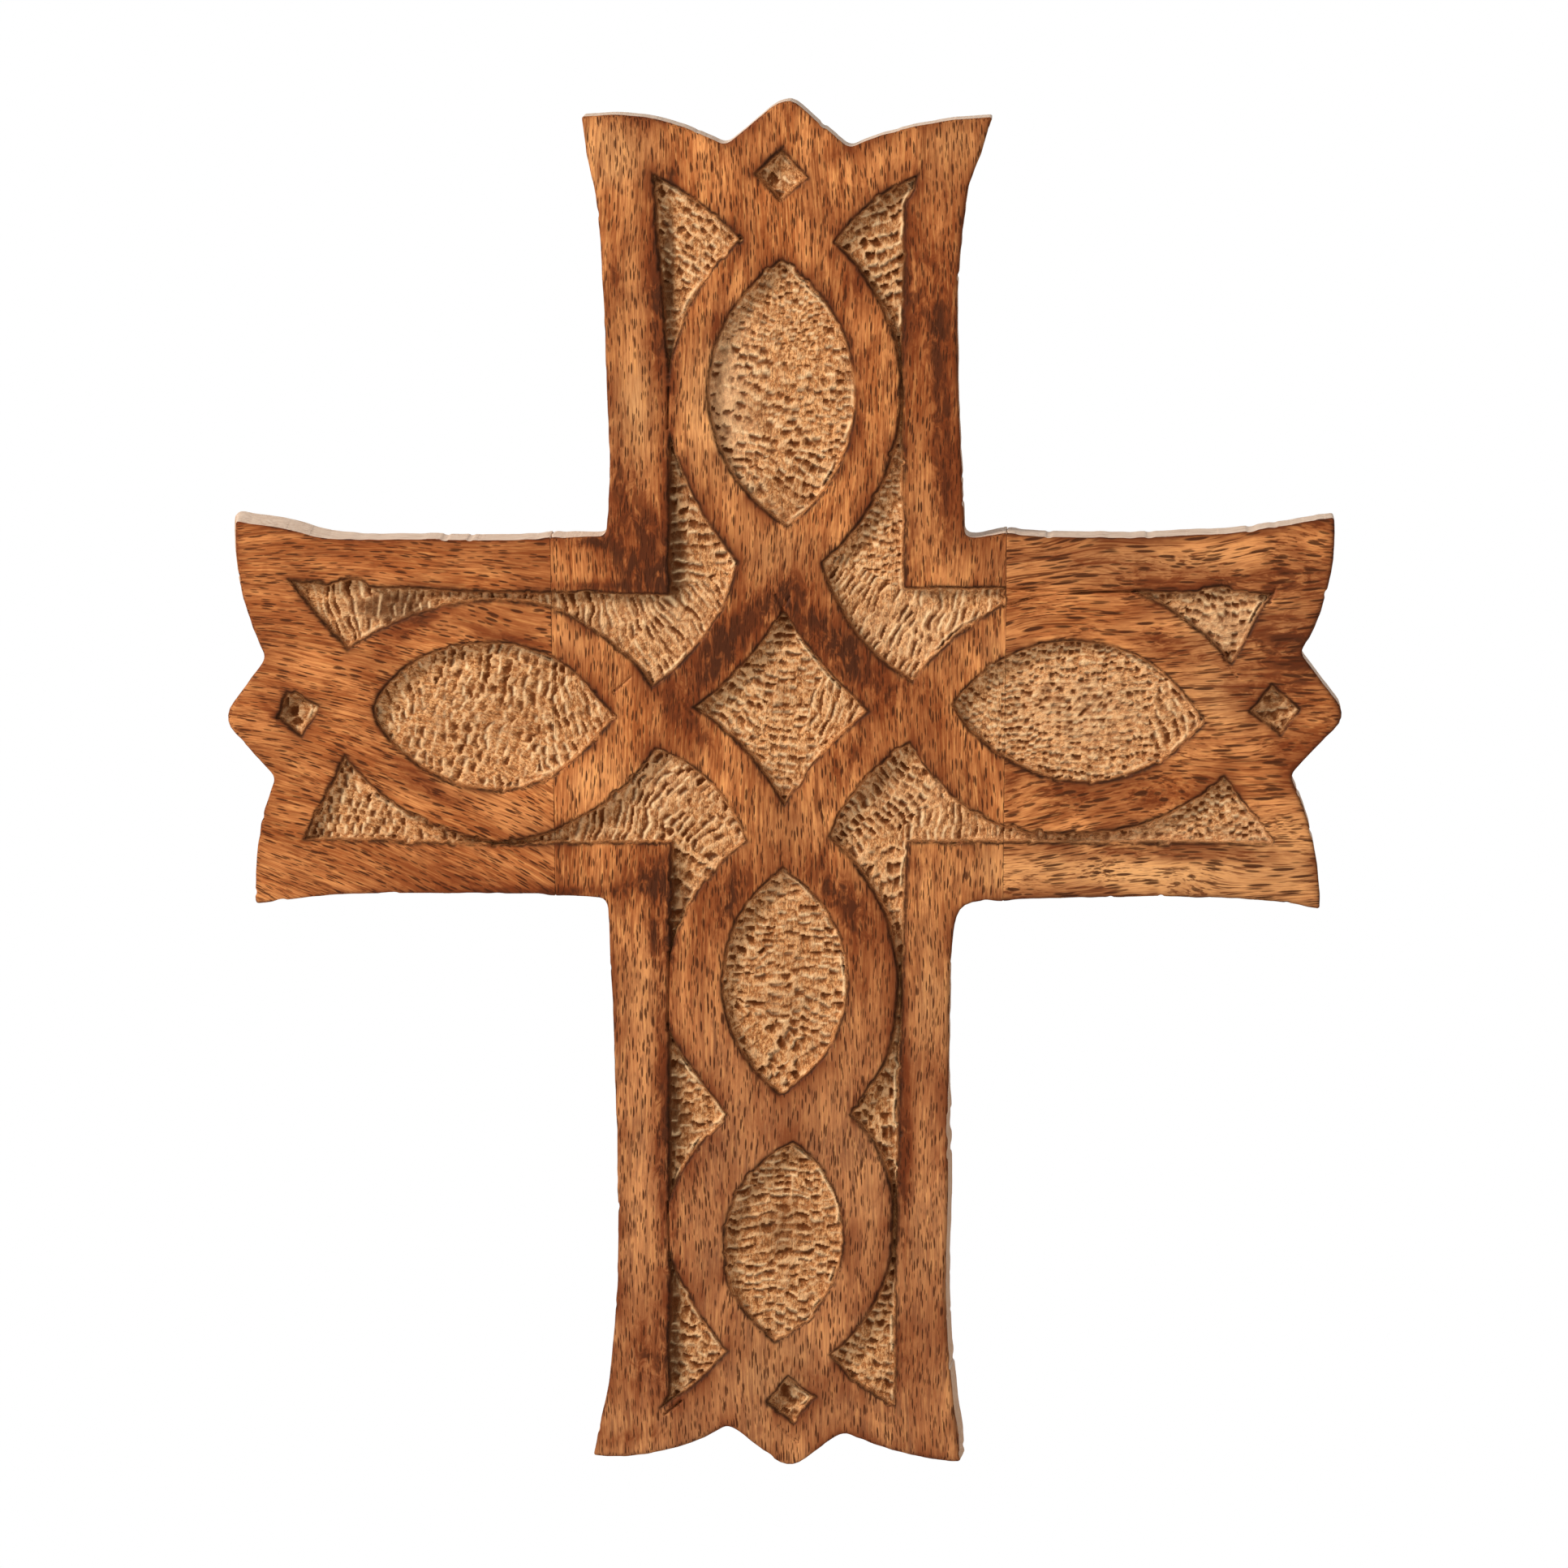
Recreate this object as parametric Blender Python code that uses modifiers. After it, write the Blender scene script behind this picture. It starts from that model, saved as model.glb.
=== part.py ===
"""A carved wooden wall cross: three boards glued up with dowels, and a ring hanger in a recess at the back.

Lengths are in millimetres until a mesh is made. The front, which is carved, faces -Y. X runs to the right
and Z up. The origin is on the flat back, at the middle of the crossing.
"""
import math

import bmesh
import bpy
from mathutils import Vector

MM = 0.001

# Boards
THICKNESS = 19.0
TOP_REACH = 137.4
BOTTOM_REACH = 167.6
LEFT_REACH = 124.0
RIGHT_REACH = 124.1
TOP_HALF = 39.0
BOTTOM_HALF = 37.0
LEFT_HALF = 39.0
RIGHT_HALF = 39.5
GLUE_GAP = 0.3
LEFT_JOINT_TOP = -52.0
LEFT_JOINT_BOTTOM = -51.0
RIGHT_JOINT_TOP = 49.5
RIGHT_JOINT_BOTTOM = 48.8

# Rounding at the outline's corners, as the length cut from each edge
TIP_CUT = 4.5
CORNER_CUT = 1.0
ROUND_STEPS = 5
MOST_OF_STEP = 0.45

# Carving: a raised border runs round the edge, and each pocket starts at its inner line
CARVE_DEPTH = 3.5
BORDER = 13.0
SIDE_BORDER = 11.3
LOWER_BORDER = 11.3
TOP_LINE = TOP_HALF - BORDER
SIDE_LINE = RIGHT_HALF - SIDE_BORDER
BOTTOM_LINE = BOTTOM_HALF - LOWER_BORDER
TOP_RING_SIDE = TOP_REACH - 64.7
RINGS_CROSS = BOTTOM_REACH - 78.5

# Dowels across the glue joints
DOWEL_DIAMETER = 8.0
DOWEL_LENGTH = 40.0
DOWEL_SPACING = 44.0
DOWEL_FLUTES = 12
FLUTE_DEPTH = 0.3
DOWEL_CLEARANCE = 0.25
DOWEL_END_ROOM = 0.5

# Hanger in the back of the upper arm
PIVOT_FROM_TIP = 39.4
STRAP_WIDTH = 12.0
STRAP_LENGTH = 28.0
STRAP_THICKNESS = 0.9
WIRE_DIAMETER = 1.8
RING_WIDTH = 20.0
RING_HEIGHT = 16.5
RING_CORNER = 2.6
RING_TIP_HALF = 2.1
RING_CORNER_STEPS = 4
EYE_TURN = 300.0
EYE_STEPS = 18
FIT = 0.25
RECESS_MARGIN = 2.0
RECESS_CORNER = 4.0
RECESS_CORNER_STEPS = 5
PLANE_CLEARANCE = 0.7

# Hanger screws
SCREW_LENGTH = 9.0
SHANK_DIAMETER = 2.8
SCREW_TIP = 0.7
HEAD_DIAMETER = 5.6
HEAD_HEIGHT = 1.4
SLOT_WIDTH = 0.8
SLOT_DEPTH = 0.6
SLOT_CORNER = 0.2
SCREW_FROM_PIVOT = 8.5
SCREW_SPACING = 13.5

# Steps of curves and round surfaces, and how far cutters run past a face
CURVE_STEP = 5.0
ARC_ERROR = 0.03
BORE_SIDES = 24
TURNED_SIDES = 20
OVERRUN = 1.0
WELD = 1e-6

PIVOT_HEIGHT = TOP_REACH - PIVOT_FROM_TIP
EYE_INNER = WIRE_DIAMETER / 2 + FIT
EYE_OUTER = EYE_INNER + STRAP_THICKNESS
RECESS_DEPTH = PLANE_CLEARANCE + 2 * EYE_OUTER + FIT
RECESS_WIDTH = RING_WIDTH + 2 * RECESS_MARGIN
RECESS_TOP = PIVOT_HEIGHT + RING_HEIGHT + RECESS_MARGIN
RECESS_BOTTOM = PIVOT_HEIGHT - STRAP_LENGTH - RECESS_MARGIN
PIVOT_Y = FIT + EYE_OUTER - RECESS_DEPTH
STRAP_TOP_Y = PIVOT_Y - EYE_INNER

DIRECTIONS = {"top": (0, 1), "right": (1, 0), "bottom": (0, -1), "left": (-1, 0)}
REACHES = {"top": TOP_REACH, "right": RIGHT_REACH, "bottom": BOTTOM_REACH, "left": LEFT_REACH}
HALVES = {"top": TOP_HALF, "right": RIGHT_HALF, "bottom": BOTTOM_HALF, "left": LEFT_HALF}

# Where neighbouring arms meet, as the amounts by which each corner stands out of both arms' edges
ROOTS = {
    "left top": (1.8, 0.6, 1.5),
    "top right": (1.4, 0.7, 3.0),
    "right bottom": (1.8, 1.8, 5.0),
    "bottom left": (2.4, 1.7, 3.0),
}

# Each side of an arm, from its root to its corner, as points (distance along the arm, amount past the half
# width). In "flare" and "corner" the distance counts back from the arm's reach. The first side is the one
# met first when going round clockwise.
SIDES = {
    "top first": {
        "run": [(47.5, 0.2), (64.0, 0.1)],
        "flare": [(41.0, 1.5), (24.9, 2.4), (14.1, 4.6)],
        "corner": (3.4, 6.3)},
    "top second": {
        "run": [(47.5, 1.0), (64.0, 0.2)],
        "flare": [(44.8, -0.3), (30.4, 0.6), (19.5, 2.2), (11.9, 4.8)],
        "corner": (3.6, 7.4)},
    "right first": {
        "run": [(69.0, -0.3)],
        "flare": [(39.7, -0.1), (27.2, 0.9), (14.9, 2.8)],
        "corner": (1.7, 4.9)},
    "right second": {
        "run": [(49.0, 1.3), (75.0, 0.5)],
        "flare": [(30.4, 0.6), (14.9, 1.5)],
        "corner": (4.6, 3.3)},
    "bottom first": {
        "run": [(52.6, 0.4), (75.6, 0.0)],
        "flare": [(59.0, -0.4), (37.8, -0.7), (23.0, 0.1), (12.5, 1.3)],
        "corner": (0.7, 2.7)},
    "bottom second": {
        "run": [(46.6, 2.2), (72.0, 1.1)],
        "flare": [(55.9, 0.2), (34.2, 0.8), (19.7, 2.1), (10.7, 4.0)],
        "corner": (1.9, 5.9)},
    "left first": {
        "run": [(51.0, 0.8), (84.0, 0.6)],
        "flare": [(24.4, 0.9), (15.0, 1.9)],
        "corner": (6.1, 2.9)},
    "left second": {
        "run": [(52.0, -0.3), (84.0, -0.5)],
        "flare": [(22.6, 0.1), (11.9, 2.6)],
        "corner": (1.8, 4.3)},
}

# Each arm's end: a notch on either side of the point as (distance back from the reach, distance across),
# how far each scallop bulges, how far the point stands off the middle line, and how round the notches are
ENDS = {
    "top": {"notches": ((9.9, 13.1), (10.3, 14.3)), "bulges": (2.5, 1.6), "point": 0.7, "notch_cut": 1.6},
    "right": {"notches": ((9.1, 14.3), (11.4, 12.8)), "bulges": (2.5, 1.9), "point": -0.7, "notch_cut": 1.6},
    "bottom": {"notches": ((7.4, 13.0), (9.0, 12.3)), "bulges": (1.3, 2.6), "point": -1.3, "notch_cut": 2.8},
    "left": {"notches": ((10.6, 13.7), (8.5, 13.0)), "bulges": (1.7, 2.1), "point": -0.4, "notch_cut": 1.6},
}

# Pockets by arm, each a list of corners (across, along, bulge of the edge that follows). Where no bulge is
# given, a smooth edge runs from the first point through the others. Pockets that a groove links are one.
# Across and along follow the arm that a pocket is listed under, and at the crossing it may reach others.
POCKETS = {
    "top": [
        # lens
        [(0.9, 42.3, 17.3), (-0.5, TOP_REACH - 35.4, 16.0)],
        # small diamond
        [(-6.7, TOP_REACH - 16.4, 0), (-0.5, TOP_REACH - 10.5, 0), (5.6, TOP_REACH - 17.3, 0),
         (-0.9, TOP_REACH - 22.6, 0)],
        # left outer triangle
        [(-TOP_LINE - 3.5, TOP_REACH - 15.9, 1.1), (-9.4, TOP_REACH - 30.9, -3.6),
         (-TOP_LINE + 0.3, TOP_RING_SIDE, 0)],
        # right outer triangle and right inner corner, which ends in the glue joint
        [(10.8, TOP_REACH - 31.5, 1.6), (TOP_LINE + 3.8, TOP_REACH - 16.3, 0),
         (TOP_LINE + 3.1, TOP_REACH - 19.9, 0), (TOP_LINE + 1.1, TOP_REACH - 23.1, 0),
         (TOP_LINE + 0.5, TOP_REACH - 60.0, 0), (TOP_LINE + 1.1, SIDE_LINE + 1.1, 0),
         (RIGHT_JOINT_TOP, SIDE_LINE + 0.7, 0), (RIGHT_JOINT_TOP, 24.8, -1.9), (28.6, 7.6, 3.6),
         (8.3, 34.7, -4.6), (TOP_LINE - 0.3, TOP_RING_SIDE, -3.8)],
        # star at the crossing
        [(-0.2, 24.2, -0.9), (19.3, 1.3, -1.5), (0.0, -20.2, -2.0), (-20.4, 2.2, -1.5)],
    ],
    "right": [
        # lens
        [(-2.9, 37.2, 16.3), (1.1, RIGHT_REACH - 30.4, 15.2)],
        # small diamond
        [(-7.6, RIGHT_REACH - 15.6, 0), (-2.0, RIGHT_REACH - 9.1, 0), (3.8, RIGHT_REACH - 13.6, 0),
         (-1.6, RIGHT_REACH - 20.7, 0)],
        # upper outer triangle
        [(-SIDE_LINE + 0.2, RIGHT_REACH - 46.5, 0), (-SIDE_LINE + 0.2, RIGHT_REACH - 32.1, 0.3),
         (-SIDE_LINE - 0.9, RIGHT_REACH - 27.6, 0.6), (-SIDE_LINE + 0.4, RIGHT_REACH - 24.3, 0),
         (-SIDE_LINE + 0.7, RIGHT_REACH - 15.4, 0), (-11.6, RIGHT_REACH - 24.5, -1.5)],
        # lower inner corner, with the lower outer triangle and the right side of the lower arm
        [(5.1, 28.2, -2.9), (23.9, 49.4, -0.2), (25.5, RIGHT_REACH - 64.4, -4.1),
         (12.7, RIGHT_REACH - 26.1, 0), (SIDE_LINE - 0.9, RIGHT_REACH - 14.9, 0),
         (SIDE_LINE, RIGHT_REACH - 15.6, 0), (SIDE_LINE - 0.2, 27.7, 0),
         (RINGS_CROSS - 20.4, BOTTOM_LINE + 0.6, 0), (RINGS_CROSS + 24.4, BOTTOM_LINE - 0.2, 0),
         (BOTTOM_REACH - 13.0, BOTTOM_LINE - 0.7, 1.1), (BOTTOM_REACH - 24.8, 9.9, -3.8),
         (RINGS_CROSS + 25.3, BOTTOM_LINE - 1.8, -3.2), (RINGS_CROSS - 0.3, 14.5, -2.9),
         (RINGS_CROSS - 27.6, BOTTOM_LINE - 0.7, -4.4),
         (26.8, 9.6, 2.5)],
    ],
    "bottom": [
        # lenses
        [(0.5, 33.6, 15.3), (1.1, RINGS_CROSS - 4.5, 13.3)],
        [(-2.0, RINGS_CROSS + 5.5, 13.5), (2.2, BOTTOM_REACH - 27.5, 13.5)],
        # small diamond
        [(-0.9, BOTTOM_REACH - 20.2, 0), (-7.1, BOTTOM_REACH - 15.2, 0), (-2.2, BOTTOM_REACH - 9.6, 0),
         (4.2, BOTTOM_REACH - 14.1, 0)],
        # between the two rings on the left
        [(BOTTOM_LINE + 0.2, RINGS_CROSS - 20.4, -0.8), (12.3, RINGS_CROSS, -1.8),
         (BOTTOM_LINE + 0.2, RINGS_CROSS + 20.5, 0)],
        # left outer triangle
        [(BOTTOM_LINE, BOTTOM_REACH - 47.7, -1.0), (12.5, BOTTOM_REACH - 25.5, 1.0),
         (BOTTOM_LINE + 2.1, BOTTOM_REACH - 12.7, 0), (BOTTOM_LINE + 0.3, BOTTOM_REACH - 15.7, 0)],
    ],
    "left": [
        # lens, round at its outer end
        [(0.0, 37.4, None), (-12.5, 49.9, None), (-16.6, 65.4, None), (-11.2, LEFT_REACH - 42.5, None),
         (1.8, LEFT_REACH - 32.3, None), (13.0, LEFT_REACH - 42.5, None), (16.6, 66.2, None),
         (12.7, 49.9, None)],
        # small diamond
        [(6.1, LEFT_REACH - 13.0, 0), (2.5, LEFT_REACH - 20.6, 0), (-4.7, LEFT_REACH - 16.6, 0),
         (-0.4, LEFT_REACH - 10.8, 0)],
        # upper inner corner and upper outer triangle
        [(TOP_RING_SIDE - 7.6, TOP_LINE - 0.3, -1.9), (34.7, 10.1, 3.4), (6.5, 29.5, -5.0),
         (SIDE_LINE - 2.7, 64.4, -2.6), (14.3, LEFT_REACH - 26.7, 0.3),
         (SIDE_LINE + 2.0, LEFT_REACH - 13.5, 0),
         (SIDE_LINE + 0.9, LEFT_REACH - 22.6, 0.4), (SIDE_LINE + 2.2, LEFT_REACH - 28.9, 0.3),
         (SIDE_LINE + 0.7, LEFT_REACH - 31.8, 0), (SIDE_LINE - 0.5, 64.4, 0),
         (SIDE_LINE - 0.5, TOP_LINE, 0)],
        # lower inner corner and lower outer triangle
        [(-6.5, 28.6, 3.6), (-27.8, 8.0, -2.9), (35.2 - RINGS_CROSS, BOTTOM_LINE - 0.2, 0),
         (-SIDE_LINE, BOTTOM_LINE - 0.4, 0), (-SIDE_LINE - 0.5, 64.0, 0),
         (-SIDE_LINE + 0.7, LEFT_REACH - 16.6, 0), (-8.5, LEFT_REACH - 26.0, -3.9),
         (-SIDE_LINE + 0.5, 64.0, -4.8)],
    ],
}

COLOURS = {
    "mango_wood": ((0.36, 0.15, 0.05, 1.0), 0.55, 0.0),
    "mango_wood_left": ((0.40, 0.18, 0.06, 1.0), 0.55, 0.0),
    "mango_wood_right": ((0.38, 0.16, 0.05, 1.0), 0.55, 0.0),
    "beech_dowel": ((0.62, 0.43, 0.26, 1.0), 0.7, 0.0),
    "zinc_strap": ((0.62, 0.62, 0.60, 1.0), 0.35, 1.0),
    "wire_steel": ((0.55, 0.55, 0.56, 1.0), 0.3, 1.0),
    "screw_steel": ((0.60, 0.57, 0.48, 1.0), 0.35, 1.0),
}


def clear_scene():
    for item in list(bpy.data.objects):
        bpy.data.objects.remove(item, do_unlink=True)


def make_collection(name):
    group = bpy.data.collections.new(name)
    bpy.context.scene.collection.children.link(group)
    return group


def make_material(name):
    colour, roughness, metallic = COLOURS[name]
    material = bpy.data.materials.new(name)
    material.use_nodes = True
    shader = material.node_tree.nodes["Principled BSDF"]
    shader.inputs["Base Color"].default_value = colour
    shader.inputs["Roughness"].default_value = roughness
    shader.inputs["Metallic"].default_value = metallic
    return material


def on_arm(arm, across, along):
    """A point on an arm as (x, z): along runs out from the crossing, across to the clockwise side."""
    out = Vector(DIRECTIONS[arm])
    side = Vector((out.y, -out.x))
    return out * along + side * across


def arc(start, end, bulge):
    """Points from start up to, but without, end, on an arc whose middle stands off the chord to its left."""
    if bulge == 0:
        return [start]
    chord = end - start
    half = chord.length / 2
    radius = (half * half + bulge * bulge) / (2 * abs(bulge))
    turn = 4 * math.atan2(abs(bulge), half)
    steps = max(2, math.ceil(turn / (2 * math.acos(max(0.5, 1 - ARC_ERROR / radius)))))
    left = Vector((-chord.y, chord.x)).normalized()
    sign = math.copysign(1, bulge)
    centre = (start + end) / 2 + left * (bulge - sign * radius)
    spoke = start - centre
    return [centre + rotated(spoke, -sign * turn * i / steps) for i in range(steps)]


def rotated(vector, angle):
    c = math.cos(angle)
    s = math.sin(angle)
    return Vector((c * vector.x - s * vector.y, s * vector.x + c * vector.y))


def smooth(points):
    """A smooth curve through the points, both ends included."""
    places = [0.0]
    for a, b in zip(points, points[1:]):
        places.append(places[-1] + (b - a).length)
    slopes = []
    for i in range(len(points)):
        low = max(i - 1, 0)
        high = min(i + 1, len(points) - 1)
        slopes.append((points[high] - points[low]) / (places[high] - places[low]))
    curve = []
    for i in range(len(points) - 1):
        span = places[i + 1] - places[i]
        steps = max(1, math.ceil(span / CURVE_STEP))
        for k in range(steps):
            t = k / steps
            h = t * t * (3 - 2 * t)
            curve.append(points[i] * (1 - h) + points[i + 1] * h
                         + slopes[i] * span * t * (1 - t) ** 2 - slopes[i + 1] * span * t * t * (1 - t))
    return curve + [points[-1]]


def trimmed(line, cut):
    """The line without its first stretch of that length."""
    line = list(line)
    while len(line) > 2 and (line[1] - line[0]).length <= cut:
        cut -= (line[1] - line[0]).length
        line.pop(0)
    step = line[1] - line[0]
    line[0] = line[0] + step * min(cut / step.length, MOST_OF_STEP)
    return line


def rounded(stretches, cuts):
    """Joins stretches that run in a ring, with each meeting point rounded: cuts[i] is at the end of i."""
    count = len(stretches)
    loop = []
    for i in range(count):
        line = trimmed(stretches[i], cuts[i - 1])
        line = trimmed(line[::-1], cuts[i])[::-1]
        loop += line
        following = trimmed(stretches[(i + 1) % count], cuts[i])[0]
        corner = stretches[i][-1]
        for k in range(1, ROUND_STEPS):
            t = k / ROUND_STEPS
            loop.append(line[-1] * (1 - t) ** 2 + corner * 2 * t * (1 - t) + following * t * t)
    return loop


def arm_end(arm, sign):
    """Corner, notch and point of one side of an arm's end. The point's tip is rounded down to the reach."""
    index = 0 if sign < 0 else 1
    reach = REACHES[arm]
    end = ENDS[arm]
    back, out = SIDES[arm + (" first" if sign < 0 else " second")]["corner"]
    corner = on_arm(arm, sign * (HALVES[arm] + out), reach - back)
    notch_back, notch_out = end["notches"][index]
    notch = on_arm(arm, sign * notch_out, reach - notch_back)
    half = sum(n[1] for n in end["notches"]) / 2
    depth = sum(n[0] for n in end["notches"]) / 2
    lift = TIP_CUT / 2 * math.cos(math.atan2(half, depth + TIP_CUT / 3))
    point = on_arm(arm, end["point"], reach + lift)
    return corner, notch, point


def root(name, first, second):
    """The corner between two arms: first is the earlier arm clockwise."""
    past_first, past_second, _ = ROOTS[name]
    return on_arm(first, HALVES[first] + past_first, 0) + on_arm(second, -HALVES[second] - past_second, 0)


def side_points(arm, sign):
    side = SIDES[arm + (" first" if sign < 0 else " second")]
    half = HALVES[arm]
    points = [on_arm(arm, sign * (half + out), along) for along, out in side["run"]]
    points += [on_arm(arm, sign * (half + out), REACHES[arm] - back) for back, out in side["flare"]]
    return points


def cross_outline():
    """The whole outline, clockwise as seen from the front."""
    order = ["top", "right", "bottom", "left"]
    stretches = []
    cuts = []
    for i, arm in enumerate(order):
        before = order[i - 1]
        after = order[(i + 1) % 4]
        start = root(before + " " + arm, before, arm)
        finish = root(arm + " " + after, arm, after)
        corner_a, notch_a, point = arm_end(arm, -1)
        corner_b, notch_b, _ = arm_end(arm, 1)
        bulge_a, bulge_b = ENDS[arm]["bulges"]
        stretches.append(smooth([start] + side_points(arm, -1) + [corner_a]))
        stretches.append(arc(corner_a, notch_a, bulge_a) + [notch_a])
        stretches.append([notch_a, point])
        stretches.append([point, notch_b])
        stretches.append(arc(notch_b, corner_b, bulge_b) + [corner_b])
        stretches.append(smooth([corner_b] + side_points(arm, 1)[::-1] + [finish]))
        notch_cut = ENDS[arm]["notch_cut"]
        cuts += [CORNER_CUT, notch_cut, TIP_CUT, notch_cut, CORNER_CUT, ROOTS[arm + " " + after][2]]
    return rounded(stretches, cuts)


def clipped(outline, point, normal):
    """The part of an outline on the side of a straight cut that the normal points away from."""
    kept = []
    for a, b in zip(outline, outline[1:] + outline[:1]):
        height_a = (a - point).dot(normal)
        height_b = (b - point).dot(normal)
        if height_a <= 0:
            kept.append(a)
        if (height_a < 0) != (height_b < 0) and height_a != height_b:
            kept.append(a + (b - a) * (height_a / (height_a - height_b)))
    return kept


def joint(side):
    """A point on a glue joint's middle line, and the line's normal, which points away from the crossing."""
    upper, lower = ((LEFT_JOINT_TOP, LEFT_JOINT_BOTTOM) if side == "left"
                    else (RIGHT_JOINT_TOP, RIGHT_JOINT_BOTTOM))
    half = HALVES[side]
    line = Vector((upper - lower, 2 * half)).normalized()
    out = Vector((-line.y, line.x)) if side == "left" else Vector((line.y, -line.x))
    return Vector(((upper + lower) / 2, 0.0)), out


def board_outlines():
    whole = cross_outline()
    centre = whole
    outlines = {}
    for side in ("left", "right"):
        point, out = joint(side)
        centre = clipped(centre, point - out * GLUE_GAP / 2, out)
        outlines[side + "_arm"] = clipped(whole, point + out * GLUE_GAP / 2, -out)
    outlines["centre_board"] = centre
    return outlines


def pocket_loop(arm, corners):
    places = [on_arm(arm, across, along) for across, along, _ in corners]
    if corners[0][2] is None:
        return smooth(places + places[:1])[:-1]
    loop = []
    for i, (_, _, bulge) in enumerate(corners):
        loop += arc(places[i], places[(i + 1) % len(places)], bulge)
    return loop


def pocket_loops():
    return [pocket_loop(arm, corners) for arm, pockets in POCKETS.items() for corners in pockets]


def flat_curve(name, loops, thickness):
    """A 2D curve with the loops as its outlines, in the plane of X and Z, centred on the origin's Y."""
    data = bpy.data.curves.new(name, "CURVE")
    data.dimensions = "2D"
    data.fill_mode = "BOTH"
    data.extrude = thickness * MM / 2
    for loop in loops:
        spline = data.splines.new("POLY")
        spline.points.add(len(loop) - 1)
        for point, place in zip(spline.points, loop):
            point.co = (place[0] * MM, place[1] * MM, 0, 1)
        spline.use_cyclic_u = True
    item = bpy.data.objects.new(name, data)
    item.rotation_euler = (math.pi / 2, 0, 0)
    return item


def as_mesh(item, collection):
    """Turns a curve object into a welded mesh object under the same name."""
    collection.objects.link(item)
    bpy.context.view_layer.update()
    evaluated = item.evaluated_get(bpy.context.evaluated_depsgraph_get())
    mesh = bpy.data.meshes.new_from_object(evaluated)
    matrix = item.matrix_world.copy()
    name = item.name
    bpy.data.objects.remove(item, do_unlink=True)
    work = bmesh.new()
    work.from_mesh(mesh)
    bmesh.ops.remove_doubles(work, verts=work.verts, dist=WELD)
    bmesh.ops.recalc_face_normals(work, faces=work.faces)
    work.to_mesh(mesh)
    work.free()
    result = bpy.data.objects.new(name, mesh)
    result.matrix_world = matrix
    collection.objects.link(result)
    return result


def slab(name, loops, front, back, collection):
    """A flat piece with the loops as its outlines, from one Y to another."""
    item = flat_curve(name, loops, back - front)
    item.location = (0, (front + back) / 2 * MM, 0)
    return as_mesh(item, collection)


def rounded_box_loop(left, right, bottom, top, radius):
    loop = []
    steps = RECESS_CORNER_STEPS
    for corner in range(4):
        x = (right, right, left, left)[corner]
        z = (bottom, top, top, bottom)[corner]
        centre = Vector((x - math.copysign(radius, x - (left + right) / 2),
                         z - math.copysign(radius, z - (bottom + top) / 2)))
        for k in range(steps + 1):
            angle = math.pi / 2 * (corner - 1 + k / steps)
            loop.append(centre + Vector((math.cos(angle), math.sin(angle))) * radius)
    return loop


def cylinder(name, radius, length, centre, axis, collection):
    """A plain cylinder about an axis through its middle."""
    work = bmesh.new()
    bmesh.ops.create_cone(work, cap_ends=True, segments=BORE_SIDES, radius1=radius * MM, radius2=radius * MM,
                          depth=length * MM)
    mesh = bpy.data.meshes.new(name)
    work.to_mesh(mesh)
    work.free()
    item = bpy.data.objects.new(name, mesh)
    item.location = Vector(centre) * MM
    item.rotation_euler = Vector(axis).to_track_quat("Z", "Y").to_euler()
    collection.objects.link(item)
    return item


def turned(name, profile, place, collection):
    """A turned solid about Y: profile is a list of (radius, y), from its back to its front end."""
    mesh = bpy.data.meshes.new(name)
    verts = [(radius * MM, y * MM, 0) for radius, y in reversed(profile)]
    mesh.from_pydata(verts, [(i, i + 1) for i in range(len(verts) - 1)], [])
    item = bpy.data.objects.new(name, mesh)
    item.location = Vector(place) * MM
    collection.objects.link(item)
    screw = item.modifiers.new("turn", "SCREW")
    screw.axis = "Y"
    screw.steps = TURNED_SIDES
    screw.render_steps = TURNED_SIDES
    screw.use_merge_vertices = True
    screw.merge_threshold = WELD
    return item


def subtract(item, cutter):
    cut = item.modifiers.new("cut " + cutter.name, "BOOLEAN")
    cut.operation = "DIFFERENCE"
    cut.solver = "EXACT"
    cut.object = cutter


def as_cutter(item):
    item.hide_render = True
    item.display_type = "WIRE"
    return item


def finish(item, material, smooth_angle=None):
    item.data.materials.clear()
    item.data.materials.append(material)
    if smooth_angle is not None:
        item.data.shade_smooth()
        item.data.set_sharp_from_angle(angle=math.radians(smooth_angle))
    return item


def dowel_places():
    """Each dowel's name, centre and axis. The axis is square to its glue joint."""
    places = []
    for side in ("left", "right"):
        point, out = joint(side)
        line = Vector((-out.y, out.x))
        if line.y < 0:
            line = -line
        for level, sign in (("upper", 1), ("lower", -1)):
            centre = point + line * (sign * DOWEL_SPACING / 2)
            place = (centre.x, -THICKNESS / 2, centre.y)
            places.append(("dowel_%s_%s" % (side, level), place, (out.x, 0, out.y)))
    return places


def make_dowels(parts, cutters, boards, material):
    for name, centre, axis in dowel_places():
        loop = []
        for i in range(2 * DOWEL_FLUTES):
            angle = math.pi * i / DOWEL_FLUTES
            radius = DOWEL_DIAMETER / 2 - (FLUTE_DEPTH if i % 2 else 0)
            loop.append(Vector((math.cos(angle), math.sin(angle))) * radius)
        item = flat_curve(name, [loop], DOWEL_LENGTH)
        item.rotation_euler = Vector(axis).to_track_quat("Z", "Y").to_euler()
        item.location = Vector(centre) * MM
        finish(as_mesh(item, parts), material, 25)
        bore = cylinder("bore_" + name, DOWEL_DIAMETER / 2 + DOWEL_CLEARANCE,
                        DOWEL_LENGTH + 2 * DOWEL_END_ROOM, centre, axis, cutters)
        as_cutter(bore)
        subtract(boards["centre_board"], bore)
        subtract(boards["left_arm" if "left" in name else "right_arm"], bore)


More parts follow.
